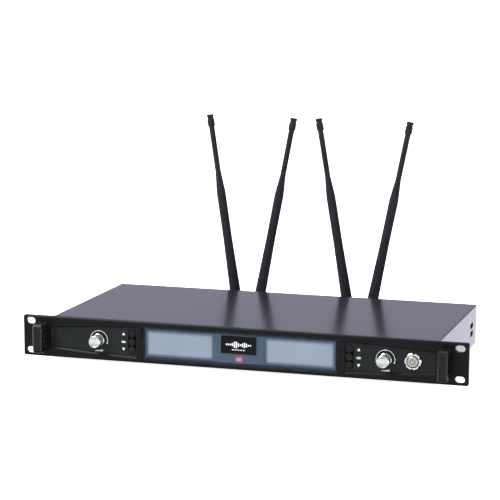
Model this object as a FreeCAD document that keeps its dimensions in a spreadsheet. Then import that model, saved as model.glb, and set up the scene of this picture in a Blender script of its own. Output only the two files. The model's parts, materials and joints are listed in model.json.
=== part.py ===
"""Rack-mount twin wireless microphone receiver, one rack unit high, with four rear antennas.

Frame: +X to the right seen from the front, +Y to the rear, +Z up, millimetres. The origin is
the centre of the four rack slots, on the rear face of the rack ears.
"""
import FreeCAD, Part
import math
import os
import re
import Sketcher
from FreeCAD import Placement, Rotation, Vector

# ---------------------------------------------------------------- driving dimensions
DIMENSIONS = [
    # front panel: a standard rack panel, one unit high
    ("panel_width", 482.6), ("panel_height", 44.0), ("ear_thick", 4.0), ("core_thick", 1.5),
    ("corner_radius", 2.0), ("front_round", 1.7),
    ("slot_pitch_x", 465.1), ("slot_pitch_z", 31.75), ("slot_long", 10.1), ("slot_high", 7.0),
    # chassis
    ("chassis_half", 210.0), ("chassis_rear", 206.0), ("chassis_top", 21.0),
    ("chassis_bottom", -21.4), ("sheet_thick", 1.2), ("flange_high", 14.4), ("bend_radius", 1.6),
    ("lip_bottom", 15.9), ("side_screw_z", -14.0), ("lip_screw_z", 18.0), ("lip_screw_x", 185.0),
    ("vent_long", 16.0), ("vent_high", 6.0), ("vent_y", 179.0), ("vent_z", -1.9), ("vent_pitch", 8.8),
    # recesses of the front panel; control_z is the height of every control's centre
    ("control_z", -0.6), ("recess_inner", 112.3), ("recess_outer", 207.0),
    ("recess_inner_half", 15.6), ("recess_outer_half", 10.4), ("recess_bulge", 0.7),
    ("recess_deep", 3.4), ("recess_chamfer", 1.3), ("recess_corner", 1.5),
    ("plate_thick", 1.0), ("plate_gap", 0.15),
    ("window_half", 106.8), ("window_z", -1.0), ("window_half_high", 17.5), ("lens_drop", 0.9),
    ("lens_thick", 1.5), ("lens_gap", 0.1), ("opening_half", 103.3), ("opening_half_high", 14.8),
    ("hole_gap", 0.1), ("bush_gap", 0.05), ("thread_deep", 3.2),
    ("badge_half", 19.1), ("badge_high", 18.9), ("badge_z", 4.2), ("badge_thick", 0.6),
    ("badge_corner", 0.4), ("lcd_inner", 27.5), ("lcd_outer", 103.0), ("lcd_half_high", 14.4),
    ("lcd_rim", 1.0), ("lcd_rim_high", 0.6), ("lcd_proud", 0.4),
    ("display_board_half", 104.0), ("display_board_low", -19.9), ("display_board_high", 19.4),
    ("ir_z", -11.0), ("ir_radius", 2.5), ("ir_dome_y", 2.2),
    # controls
    ("key_x", 118.0), ("key_pitch", 8.6), ("key_radius", 3.95), ("key_proud", 0.8),
    ("key_slot_wide", 8.9), ("key_slot_high", 26.2), ("key_tab_wide", 11.0), ("key_tab_high", 7.6),
    ("key_tab_thick", 0.8), ("key_tab_gap", 0.1), ("key_bond", 0.2), ("key_crown", 0.6),
    ("nose_radius", 1.5), ("nose_reach", 0.3), ("nose_gap", 0.3), ("switch_size", 6.2),
    ("switch_front", 3.6), ("switch_bore", 1.8), ("key_board_inner", 111.0),
    ("key_board_outer", 171.0), ("key_board_half_high", 18.0),
    ("knob_x", 155.5), ("knob_radius", 6.4), ("knob_base_radius", 6.75), ("knob_front", -15.5),
    ("knob_cavity", 5.9), ("knob_gap", 0.5), ("knob_mouth", 3.7), ("knob_edge", 0.8),
    ("knob_web", 2.5), ("shaft_inside", 6.0), ("shaft_gap", 0.06), ("pot_bore_end", 6.5),
    ("shaft_radius", 3.0), ("bush_radius", 3.5), ("bush_front", -4.6),
    ("pot_size", 16.0), ("nut_flat", 9.5), ("nut_thick", 2.0),
    ("power_x", 184.1), ("power_barrel", 6.6), ("bezel_radius", 8.7), ("bezel_proud", 2.5),
    ("bezel_chamfer", 0.5), ("bezel_notch", 1.35), ("barrel_proud", 2.2),
    ("button_radius", 5.6), ("button_front", -5.0), ("button_rear", 3.0), ("button_edge", 0.5),
    ("button_bore", 5.9), ("button_bore_deep", 6.0), ("power_case_half", 6.5),
    ("power_case_front", 14.0), ("power_case_rear", 24.0), ("power_tab_pitch", 4.0),
    ("power_tab_half_thick", 0.4), ("power_tab_half_wide", 1.4), ("power_tab_rear", 29.0),
    ("window_low_x", 112.0), ("window_high_x", 196.0), ("window_half_z", 13.2),
    # handles
    ("handle_x", 218.0), ("handle_wide", 10.2), ("handle_half_high", 15.5), ("handle_reach", 18.0),
    ("bar_thick", 5.5), ("leg_high", 6.0), ("handle_round", 3.5), ("leg_screw_z", 12.5),
    ("bar_round", 2.0), ("bar_chamfer", 0.9), ("leg_screw_radius", 2.0), ("leg_screw_long", 12.0),
    ("leg_screw_hole", 2.15), ("leg_bore_deep", 9.0), ("leg_head_radius", 3.6), ("leg_head_high", 2.4),
    # boards and hardware
    ("board_thick", 1.6), ("front_board_y", 8.7), ("standoff_long", 6.0), ("standoff_radius", 2.5),
    ("screw_radius", 1.5), ("head_radius", 2.5), ("head_high", 1.8), ("screw_long", 5.0),
    ("clearance_radius", 1.65), ("main_front", 32.0), ("main_rear", 200.0),
    ("main_left", -130.0), ("main_right", 175.0),
    ("fascia_screw_long", 4.0), ("foot_radius", 7.0), ("foot_taper", 1.0), ("foot_high", 3.0),
    ("foot_x", 185.0), ("foot_front_y", 20.0), ("foot_rear_y", 186.0),
    ("shield_half", 30.0), ("shield_front", 112.0), ("shield_rear", 178.0), ("shield_high", 11.0),
    ("shield_wall", 0.4), ("sink_left", 130.0), ("sink_wide", 40.0), ("sink_front", 158.0),
    ("sink_rear", 175.0), ("sink_thick", 3.0), ("sink_high", 24.0), ("fin_pitch", 4.5),
    ("fin_thick", 1.5), ("case_half", 5.0), ("case_thick", 3.0), ("case_low", 4.0),
    ("case_top", 13.0), ("tab_thick", 1.4), ("tab_top", 20.0), ("leg_half", 0.35),
    ("leg_pitch", 2.5), ("leg_front", 3.0), ("leg_bond", 1.0),
    ("ribbon_x", 140.0), ("ribbon_z", -7.0), ("ribbon_thick", 1.0), ("ribbon_bend_y", 24.0),
    ("ribbon_end_y", 39.5), ("ribbon_plug", 1.5), ("ribbon_plug_high", 1.2),
    ("key_ribbon_wide", 10.0), ("display_ribbon_wide", 24.0),
    # rear connectors
    ("jack_inner_x", 54.0), ("jack_outer_x", 80.4), ("barrel_radius", 4.8), ("barrel_bore", 4.1),
    ("barrel_long", 12.0), ("jack_case_half", 6.5), ("jack_case_front", 188.0), ("jack_case_top", 7.0),
    ("stud_reach", 5.6), ("stud_back", 8.0), ("stud_radius", 0.9), ("jack_floor", 200.0),
    ("insulator_long", 11.0), ("contact_floor", 203.0), ("contact_radius", 0.7),
    ("jack_nut_flat", 13.0), ("rear_nut_thick", 2.4), ("xlr_x", 24.0), ("xlr_half_wide", 13.0),
    ("xlr_half_high", 15.5),
    ("xlr_barrel", 11.8), ("xlr_bore", 9.7), ("xlr_flange", 2.0), ("xlr_pin_radius", 1.2),
    ("xlr_barrel_front", 192.0), ("xlr_insert_front", 190.0), ("xlr_insert_long", 6.0),
    ("xlr_pin_front", 186.0), ("xlr_pin_long", 20.4),
    ("line_bore", 3.25), ("line_bush", 5.5), ("line_bush_long", 5.4), ("line_bore_front", 183.0),
    ("line_case_half", 8.0), ("line_case_front", 180.0), ("line_case_top", 8.0),
    ("line_nut_flat", 14.0), ("dc_x", 150.0), ("dc_bore", 2.9), ("dc_body", 5.5),
    ("dc_front", 190.0), ("dc_collar", 7.4), ("dc_collar_thick", 1.8), ("dc_nut_flat", 14.0),
    ("dc_nut_thick", 2.5), ("dc_well_front", 197.0), ("dc_pin_front", 196.0), ("dc_pin_radius", 1.0),
    ("dc_pin_long", 10.5),
    # cutting tools: how far they pass a face, and their full length
    ("overlap", 1.0), ("overrun", 40.0), ("wall_cut", 5.0), ("wall_cut_start", 3.0),
    # antennas: distances from the elbow's hinge axis
    ("elbow_y", 246.0), ("base_radius", 5.5), ("fork_slot_half", 2.55),
    ("tongue_half", 2.3), ("tongue_radius", 4.9), ("tongue_top", 12.0),
    ("pin_radius", 1.5), ("pin_hole", 1.58), ("whip_low_radius", 6.4), ("flare_end", 78.0),
    ("flare_radius", 5.15), ("whip_high_radius", 5.2), ("whip_start", 6.2), ("whip_edge", 0.6),
    ("cone_start", 130.0), ("cone_end", 154.5), ("rod_radius", 3.1),
    ("cap_start", 207.0), ("cap_radius", 4.0), ("neck_start", 214.6), ("cap_neck_radius", 3.4),
    ("cap_slope", 1.2), ("neck_slope", 1.8), ("flange_edge", 0.3), ("tip_edge", 0.5),
    ("flange_start", 218.7), ("whip_end", 221.0),
    ("coupling_front", 3.5), ("coupling_back", 17.0), ("coupling_lip_thick", 2.0),
    ("coupling_edge", 0.8), ("nose_front", 11.5), ("collar_front", 12.6), ("collar_thick", 2.0),
    ("neck_gap", 0.4), ("elbow_front", 4.0), ("fork_trim", 0.6), ("fork_slot_reach", 6.2),
    ("pin_trim", 1.0),
    ("coupling_radius", 7.3), ("coupling_bore", 6.0), ("coupling_lip", 5.2), ("neck_radius", 4.9),
    ("collar_radius", 5.7), ("nose_sleeve", 3.7),
    ("lean_outer_left", -8.6), ("lean_inner_left", 10.8),
    ("lean_inner_right", -9.7), ("lean_outer_right", 11.2),
]

doc = FreeCAD.newDocument("wireless_receiver")
sheet = doc.addObject("Spreadsheet::Sheet", "Dims")
for row, (alias, number) in enumerate(DIMENSIONS, start=1):
    sheet.set(f"A{row}", alias)
    sheet.set(f"B{row}", str(number))
    sheet.setAlias(f"B{row}", alias)
doc.recompute()
ALIASES = {alias for alias, _ in DIMENSIONS}
NODES = []


# ---------------------------------------------------------------- helpers
def sized(formula):
    """Turn a formula of dimension names into an expression that reads the sheet."""
    text = str(formula)
    return re.sub(r"[a-z][a-z_]*", lambda m: "Dims." + m[0] if m[0] in ALIASES else m[0], text)


def number(formula):
    """The present value of a formula of dimension names."""
    return float(sheet.evalExpression(sized(formula)))


def bind(obj, **formulas):
    for prop, formula in formulas.items():
        obj.setExpression(prop, sized(formula))
    return obj


def move_to(obj, x, y, z):
    for letter, formula in zip("xyz", (x, y, z)):
        obj.setExpression("Placement.Base." + letter, sized(formula))
    return obj


def node(obj, label):
    obj.Label = label
    NODES.append(obj)
    return obj


def box(x_low, x_high, y_low, y_high, z_low, z_high):
    made = doc.addObject("Part::Box", "Block")
    bind(made, Length=f"({x_high})-({x_low})", Width=f"({y_high})-({y_low})",
         Height=f"({z_high})-({z_low})")
    return move_to(made, x_low, y_low, z_low)


TURNS = {"x": Rotation(Vector(0, 1, 0), 90), "y": Rotation(Vector(1, 0, 0), -90), "z": Rotation()}


def rod(axis, x, y, z, radius, length):
    """A cylinder that starts at (x, y, z) and runs in the axis's positive direction."""
    made = doc.addObject("Part::Cylinder", "Rod")
    made.Placement = Placement(Vector(), TURNS[axis])
    bind(made, Radius=radius, Height=length)
    return move_to(made, x, y, z)


def hexagon(axis, x, y, z, flat_width, length):
    made = doc.addObject("Part::Prism", "Hexagon")
    made.Placement = Placement(Vector(), TURNS[axis])
    bind(made, Circumradius=f"({flat_width})/sqrt(3)", Height=length)
    return move_to(made, x, y, z)


def join(parts):
    made = doc.addObject("Part::MultiFuse", "Joined")
    made.Shapes = parts
    return made


def group(parts):
    made = doc.addObject("Part::Compound", "Group")
    made.Links = parts
    return made


def cut(base, tools):
    made = doc.addObject("Part::Cut", "CutBody")
    made.Base = base
    made.Tool = tools[0] if len(tools) == 1 else join(tools)
    return made


def new_body(label):
    return node(doc.addObject("PartDesign::Body", label), label)


def sketch_on(body, role, offset=0):
    """A sketch on one of the body's origin planes, moved along the plane's normal."""
    sketch = body.newObject("Sketcher::SketchObject", body.Name + "_sketch")
    plane = next(item for item in body.Origin.OriginFeatures if item.Role == role)
    sketch.AttachmentSupport = [(plane, "")]
    sketch.MapMode = "FlatFace"
    sketch.setExpression("AttachmentOffset.Base.z", sized(offset))
    return sketch


def hold(sketch, geometry, point, x, y):
    """Fix a point of the sketch at (x, y) from its origin, by formulas."""
    for kind, prop in (("DistanceX", x), ("DistanceY", y)):
        index = sketch.addConstraint(Sketcher.Constraint(kind, -1, 1, geometry, point, number(prop)))
        sketch.setExpression(f"Constraints[{index}]", sized(prop))


def draw_outline(sketch, points):
    """A closed outline of straight edges; each corner is held by two formulas."""
    first = sketch.GeometryCount
    count = len(points)
    values = [Vector(number(x), number(y), 0) for x, y in points]
    for i in range(count):
        sketch.addGeometry(Part.LineSegment(values[i], values[(i + 1) % count]), False)
    for i in range(count):
        sketch.addConstraint(Sketcher.Constraint("Coincident", first + i, 2, first + (i + 1) % count, 1))
    for i, (x, y) in enumerate(points):
        hold(sketch, first + i, 1, x, y)


def draw_rectangle(sketch, x_low, x_high, y_low, y_high):
    draw_outline(sketch, [(x_low, y_low), (x_high, y_low), (x_high, y_high), (x_low, y_high)])


def draw_circle(sketch, x, y, radius):
    circle = Part.Circle(Vector(number(x), number(y), 0), Vector(0, 0, 1), number(radius))
    index = sketch.addGeometry(circle, False)
    hold(sketch, index, 3, x, y)
    size = sketch.addConstraint(Sketcher.Constraint("Radius", index, number(radius)))
    sketch.setExpression(f"Constraints[{size}]", sized(radius))


def draw_slot(sketch, x, y, wide, high):
    """A slot with round ends; its longer side gives its direction."""
    along_x = number(wide) > number(high)
    radius = f"({high})/2" if along_x else f"({wide})/2"
    reach = f"({wide})/2-({high})/2" if along_x else f"({high})/2-({wide})/2"
    step = (reach, "0") if along_x else ("0", reach)
    ends = [(f"({x})+({step[0]})", f"({y})+({step[1]})"), (f"({x})-({step[0]})", f"({y})-({step[1]})")]
    turn = -math.pi / 2 if along_x else 0
    first = sketch.GeometryCount
    centres = [Vector(number(a), number(b), 0) for a, b in ends]
    for i, centre in enumerate(centres):
        circle = Part.Circle(centre, Vector(0, 0, 1), number(radius))
        start = turn + i * math.pi
        sketch.addGeometry(Part.ArcOfCircle(circle, start, start + math.pi), False)
    arcs = [sketch.Geometry[first], sketch.Geometry[first + 1]]
    sketch.addGeometry(Part.LineSegment(arcs[0].EndPoint, arcs[1].StartPoint), False)
    sketch.addGeometry(Part.LineSegment(arcs[1].EndPoint, arcs[0].StartPoint), False)
    for i, (a, b) in enumerate(ends):
        hold(sketch, first + i, 3, a, b)
    size = sketch.addConstraint(Sketcher.Constraint("Radius", first, number(radius)))
    sketch.setExpression(f"Constraints[{size}]", sized(radius))
    sketch.addConstraint(Sketcher.Constraint("Tangent", first, 2, first + 2, 1))
    sketch.addConstraint(Sketcher.Constraint("Tangent", first + 2, 2, first + 1, 1))
    sketch.addConstraint(Sketcher.Constraint("Tangent", first + 1, 2, first + 3, 1))
    sketch.addConstraint(Sketcher.Constraint("Tangent", first + 3, 2, first, 1))


def pad(body, sketch, length, reverse=False, both_ways=False):
    made = body.newObject("PartDesign::Pad", body.Name + "_pad")
    made.Profile = sketch
    made.Reversed = reverse
    if both_ways:
        made.SideType = "Symmetric"
    return bind(made, Length=length)


def pocket(body, sketch, depth, reverse=False, both_ways=False):
    made = body.newObject("PartDesign::Pocket", body.Name + "_pocket")
    made.Profile = sketch
    made.Reversed = reverse
    if both_ways:
        made.SideType = "Symmetric"
    return bind(made, Length=depth)


def revolve(body, sketch, axis_name):
    made = body.newObject("PartDesign::Revolution", body.Name + "_turned")
    made.Profile = sketch
    made.ReferenceAxis = (sketch, [axis_name])
    made.Angle = 360
    return made


def soften(body, kind, formula, wanted):
    """Round or bevel the edges of the body that wanted(edge) picks."""
    doc.recompute()
    base = body.Tip
    names = [f"Edge{i}" for i, edge in enumerate(base.Shape.Edges, start=1) if wanted(edge)]
    made = body.newObject("PartDesign::" + kind, body.Name + "_" + kind.lower())
    made.Base = (base, names)
    bind(made, **{"Radius" if kind == "Fillet" else "Size": formula})
    return made


def flat_at(edge, axis, formula, slack=1e-4):
    """True where every point of the edge has the same given coordinate."""
    limits = {"x": ("XMin", "XMax"), "y": ("YMin", "YMax"), "z": ("ZMin", "ZMax")}[axis]
    target = number(formula)
    ends = (getattr(edge.BoundBox, limits[0]), getattr(edge.BoundBox, limits[1]))
    return all(abs(end - target) < slack + 1e-3 for end in ends)


def along(edge, axis):
    """True for a straight edge that runs along the axis."""
    way = edge.Vertexes[-1].Point - edge.Vertexes[0].Point
    return way.Length > 1e-6 and abs(getattr(way.normalize(), axis)) > 0.9999


SIDES = (-1, 1)
PLATE_FRONT = "recess_deep-ear_thick-plate_thick"
PLATE_REAR = "recess_deep-ear_thick"
FLOOR = "chassis_bottom+sheet_thick"
WALL_REAR = "core_thick+sheet_thick"
BOARD_REAR = "front_board_y+board_thick"
REAR_INSIDE = "chassis_rear-sheet_thick"
REAR_CUT = "chassis_rear-wall_cut_start"
MAIN_LOW = FLOOR + "+standoff_long"
MAIN_TOP = MAIN_LOW + "+board_thick"
KEY_HEIGHTS = {"up": "control_z+key_pitch", "set": "control_z", "down": "control_z-key_pitch"}
FASCIA_SCREWS = [(s * 109.2, z) for s in SIDES for z in (-8.0, 8.0)]
FASCIA_SCREWS += [(s * 195.0, z) for s in SIDES for z in (-16.5, 16.5)]
BOARD_SCREWS = [(s * x, z) for s in SIDES for x in (128.0, 166.0) for z in (-15.6, 15.6)]
BOARD_SCREWS += [(s * 92.0, z) for s in SIDES for z in (-17.6, 17.2)]
MAIN_SCREWS = [(x, y) for x in (-124.0, 22.0, 169.0) for y in (38.0, 150.0)]
SIDE_SCREW_Y = (20.0, 88.0, 156.0)
NOTCH_ANGLES = range(25, 385, 60)
FIN_COUNT = 9
XLR_SCREWS = [(9.6, 12.1), (-9.6, -12.1)]
XLR_PINS = [(-4.0, 1.5), (4.0, 1.5), (0.0, -4.2)]
JACKS = ["-jack_outer_x", "-jack_inner_x", "jack_inner_x", "jack_outer_x"]
RIBBONS = [("-ribbon_x", "key_ribbon_wide"), ("0", "display_ribbon_wide"),
           ("ribbon_x", "key_ribbon_wide")]
LEANS = ["lean_outer_left", "lean_inner_left", "lean_inner_right", "lean_outer_right"]


# ---------------------------------------------------------------- front panel
def recess_outline(sketch, side, gap):
    """A control recess: tall beside the display, lower at the handle, with bowed long edges."""
    inner = (f"{side}*(recess_inner+{gap})", f"(recess_inner_half-{gap})")
    outer = (f"{side}*(recess_outer-{gap})", f"(recess_outer_half-{gap})")
    (left, left_half), (right, right_half) = (inner, outer) if side > 0 else (outer, inner)
    corners = [(left, f"control_z-{left_half}"), (right, f"control_z-{right_half}"),
               (right, f"control_z+{right_half}"), (left, f"control_z+{left_half}")]
    points = [Vector(number(x), number(z), 0) for x, z in corners]
    bulge = Vector(0, number("recess_bulge"), 0)
    first = sketch.GeometryCount
    sketch.addGeometry(Part.Arc(points[0], (points[0] + points[1]) * 0.5 - bulge, points[1]), False)
    sketch.addGeometry(Part.LineSegment(points[1], points[2]), False)
    sketch.addGeometry(Part.Arc(points[2], (points[2] + points[3]) * 0.5 + bulge, points[3]), False)
    sketch.addGeometry(Part.LineSegment(points[3], points[0]), False)
    for i, (x, z) in enumerate(corners):
        sketch.addConstraint(Sketcher.Constraint("Coincident", first + i, 2, first + (i + 1) % 4, 1))
        hold(sketch, first + i, 1, x, z)


def make_fascia():
    body = new_body("front_fascia")
    outline = sketch_on(body, "XZ_Plane")
    draw_rectangle(outline, "-panel_width/2", "panel_width/2", "-panel_height/2", "panel_height/2")
    pad(body, outline, "ear_thick")
    core = sketch_on(body, "XZ_Plane")
    draw_rectangle(core, "-chassis_half", "chassis_half", "-panel_height/2", "panel_height/2")
    pad(body, core, "core_thick", reverse=True)
    soften(body, "Fillet", "corner_radius",
           lambda e: along(e, "y") and abs(abs(e.BoundBox.XMax) - number("panel_width/2")) < 0.01)
    soften(body, "Fillet", "front_round",
           lambda e: flat_at(e, "y", "-ear_thick"))
    slots = sketch_on(body, "XZ_Plane")
    for side in SIDES:
        for level in SIDES:
            draw_slot(slots, f"{side}*slot_pitch_x/2", f"{level}*slot_pitch_z/2", "slot_long", "slot_high")
    pocket(body, slots, "4*ear_thick", both_ways=True)
    recesses = sketch_on(body, "XZ_Plane", "ear_thick")
    for side in SIDES:
        recess_outline(recesses, side, "0")
    pocket(body, recesses, "recess_deep")
    soften(body, "Fillet", "recess_corner", lambda e: along(e, "y")
           and e.BoundBox.YMin < -3.9 and e.BoundBox.YMax < -0.5 and 111 < abs(e.BoundBox.XMax) < 208)
    soften(body, "Chamfer", "recess_chamfer", lambda e: flat_at(e, "y", "-ear_thick")
           and 105 < abs(e.CenterOfMass.x) < 208 and abs(e.CenterOfMass.z) < 18)
    window = sketch_on(body, "XZ_Plane", "ear_thick")
    draw_rectangle(window, "-window_half", "window_half", "window_z-window_half_high",
                   "window_z+window_half_high")
    pocket(body, window, "lens_drop+lens_thick")
    openings = sketch_on(body, "XZ_Plane")
    draw_rectangle(openings, "-opening_half", "opening_half", "control_z-opening_half_high",
                   "control_z+opening_half_high")
    for side in SIDES:
        draw_slot(openings, f"{side}*key_x", "control_z", "key_slot_wide", "key_slot_high")
        draw_circle(openings, f"{side}*knob_x", "control_z", "bush_radius+bush_gap")
        for level in SIDES:
            draw_circle(openings, f"{side}*handle_x", f"{level}*leg_screw_z", "leg_screw_hole")
    draw_circle(openings, "power_x", "control_z", "power_barrel+hole_gap")
    pocket(body, openings, "4*ear_thick", both_ways=True)
    threads = sketch_on(body, "XZ_Plane", "-core_thick")
    for x, z in FASCIA_SCREWS:
        draw_circle(threads, str(x), str(z), "screw_radius")
    pocket(body, threads, "thread_deep", reverse=True)


def make_control_plates():
    for side, label in zip(SIDES, ("control_plate_a", "control_plate_b")):
        body = new_body(label)
        outline = sketch_on(body, "XZ_Plane", f"-({PLATE_REAR})")
        recess_outline(outline, side, "plate_gap")
        pad(body, outline, "plate_thick")
        soften(body, "Fillet", "recess_corner", lambda e: along(e, "y"))
        holes = sketch_on(body, "XZ_Plane")
        draw_slot(holes, f"{side}*key_x", "control_z", "key_slot_wide", "key_slot_high")
        draw_circle(holes, f"{side}*knob_x", "control_z", "bush_radius+bush_gap")
        if side > 0:
            draw_circle(holes, "power_x", "control_z", "power_barrel+hole_gap")
        pocket(body, holes, "4*ear_thick", both_ways=True)


def make_display():
    lens = new_body("display_lens")
    outline = sketch_on(lens, "XZ_Plane", "ear_thick-lens_drop-lens_thick")
    draw_rectangle(outline, "-(window_half-lens_gap)", "window_half-lens_gap",
                   "window_z-window_half_high+lens_gap", "window_z+window_half_high-lens_gap")
    pad(lens, outline, "lens_thick")
    badge = new_body("badge_plate")
    outline = sketch_on(badge, "XZ_Plane", "ear_thick-lens_drop")
    draw_rectangle(outline, "-badge_half", "badge_half", "badge_z-badge_high/2", "badge_z+badge_high/2")
    pad(badge, outline, "badge_thick")
    soften(badge, "Fillet", "badge_corner", lambda e: along(e, "y"))
    modules = []
    for low, high in (("-lcd_outer", "-lcd_inner"), ("lcd_inner", "lcd_outer")):
        frame = box(low, high, "0", "front_board_y", "control_z-lcd_half_high", "control_z+lcd_half_high")
        glass = box(f"{low}+lcd_rim", f"{high}-lcd_rim", "-lcd_proud", "0",
                    "control_z-lcd_half_high+lcd_rim_high", "control_z+lcd_half_high-lcd_rim_high")
        modules.append(join([frame, glass]))
    node(group(modules), "lcd_modules")
    holes = [rod("y", x, "front_board_y-overlap", z, "clearance_radius", "wall_cut")
             for x, z in BOARD_SCREWS[8:]]
    board = box("-display_board_half", "display_board_half", "front_board_y", BOARD_REAR,
                "display_board_low", "display_board_high")
    node(cut(board, holes), "display_board")
    stem = rod("y", "0", "ir_dome_y", "ir_z", "ir_radius", "front_board_y-ir_dome_y")
    dome = doc.addObject("Part::Sphere", "Dome")
    bind(dome, Radius="ir_radius")
    move_to(dome, "0", "ir_dome_y", "ir_z")
    node(join([stem, dome]), "ir_emitter")


# ---------------------------------------------------------------- chassis
def rear_wall_holes():
    holes = [rod("y", x, REAR_CUT, "0", "barrel_radius+hole_gap", "wall_cut") for x in JACKS]
    for side in SIDES:
        holes.append(rod("y", f"{side}*xlr_x", REAR_CUT, "0", "xlr_barrel+hole_gap", "wall_cut"))
        for dx, dz in XLR_SCREWS:
            holes.append(rod("y", f"{side}*xlr_x+({dx})", REAR_CUT, dz, "screw_radius", "wall_cut"))
    holes.append(rod("y", "0", REAR_CUT, "0", "line_bush+hole_gap", "wall_cut"))
    holes.append(rod("y", "dc_x", REAR_CUT, "0", "dc_body+hole_gap", "wall_cut"))
    for place in (-1, 0, 1):
        holes.append(rod("y", f"{place}*lip_screw_x", REAR_CUT, "lip_screw_z", "screw_radius", "wall_cut"))
    return holes


def make_tray():
    half = "(chassis_half-sheet_thick)"
    inner = f"({half}-sheet_thick)"
    top = "chassis_top-sheet_thick-hole_gap"
    plates = [
        box(f"-{half}", half, "core_thick", "chassis_rear", "chassis_bottom", FLOOR),
        box(f"-{half}", half, "core_thick", WALL_REAR, "chassis_bottom", top),
        box(f"-{half}", half, REAR_INSIDE, "chassis_rear", "chassis_bottom", top),
        box(f"-{half}", f"-{inner}", "core_thick", "chassis_rear", "chassis_bottom",
            "chassis_bottom+flange_high"),
        box(inner, half, "core_thick", "chassis_rear", "chassis_bottom", "chassis_bottom+flange_high"),
    ]
    holes = rear_wall_holes()
    holes.append(box("-opening_half", "opening_half", "0", "wall_cut", "control_z-opening_half_high",
                     "control_z+opening_half_high"))
    for side in SIDES:
        ends = sorted((f"{side}*window_low_x", f"{side}*window_high_x"), key=number)
        holes.append(box(ends[0], ends[1], "0", "wall_cut", "control_z-window_half_z",
                         "control_z+window_half_z"))
        start = "-chassis_half" if side < 0 else f"{inner}-overlap"
        for y in SIDE_SCREW_Y:
            holes.append(rod("x", start, y, "side_screw_z", "screw_radius", "wall_cut"))
    for x, z in FASCIA_SCREWS:
        holes.append(rod("y", x, "0", z, "clearance_radius", "wall_cut"))
    node(cut(join(plates), holes), "chassis_tray")


def make_cover():
    body = new_body("top_cover")
    section = sketch_on(body, "XZ_Plane", "-core_thick")
    out, inside = "chassis_half", "(chassis_half-sheet_thick)"
    draw_outline(section, [
        (f"-{out}", "chassis_bottom"), (f"-{inside}", "chassis_bottom"),
        (f"-{inside}", "chassis_top-sheet_thick"), (inside, "chassis_top-sheet_thick"),
        (inside, "chassis_bottom"), (out, "chassis_bottom"), (out, "chassis_top"),
        (f"-{out}", "chassis_top")])
    pad(body, section, "chassis_rear-core_thick", reverse=True)
    lip = sketch_on(body, "XZ_Plane", "-chassis_rear")
    draw_rectangle(lip, f"-{out}", out, "lip_bottom", "chassis_top")
    pad(body, lip, "sheet_thick", reverse=True)
    soften(body, "Fillet", "bend_radius",
           lambda e: along(e, "y") and e.BoundBox.ZMin > number("chassis_top") - 0.01)
    holes = sketch_on(body, "YZ_Plane")
    for level in SIDES:
        draw_slot(holes, "vent_y", f"vent_z+{level}*vent_pitch/2", "vent_long", "vent_high")
    for y in SIDE_SCREW_Y:
        draw_circle(holes, str(y), "side_screw_z", "clearance_radius")
    pocket(body, holes, "3*chassis_half", both_ways=True)
    lip_holes = sketch_on(body, "XZ_Plane", "-chassis_rear")
    for place in (-1, 0, 1):
        draw_circle(lip_holes, f"{place}*lip_screw_x", "lip_screw_z", "clearance_radius")
    pocket(body, lip_holes, "2*sheet_thick", reverse=False)


def make_handles():
    for side, label in zip(SIDES, ("handle_left", "handle_right")):
        body = new_body(label)
        profile = sketch_on(body, "YZ_Plane", f"{side}*handle_x")
        front, back = "-(ear_thick+handle_reach)", "-ear_thick"
        high, leg = "handle_half_high", "(handle_half_high-leg_high)"
        draw_outline(profile, [
            (front, f"-{high}"), (back, f"-{high}"), (back, f"-{leg}"), (f"{front}+bar_thick", f"-{leg}"),
            (f"{front}+bar_thick", leg), (back, leg), (back, high), (front, high)])
        pad(body, profile, "handle_wide", both_ways=True)
        soften(body, "Fillet", "handle_round",
               lambda e: along(e, "x") and abs(e.BoundBox.YMin - number(front)) < 0.01)
        soften(body, "Fillet", "bar_round", lambda e: along(e, "x")
               and abs(e.BoundBox.YMin - number(f"{front}+bar_thick")) < 0.01)
        soften(body, "Chamfer", "bar_chamfer", lambda e: along(e, "z")
               and abs(e.BoundBox.YMin - number(front)) < 0.01)
        bores = sketch_on(body, "XZ_Plane", "ear_thick")
        for level in SIDES:
            draw_circle(bores, f"{side}*handle_x", f"{level}*leg_screw_z", "leg_screw_radius")
        pocket(body, bores, "leg_bore_deep", reverse=True)


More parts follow.
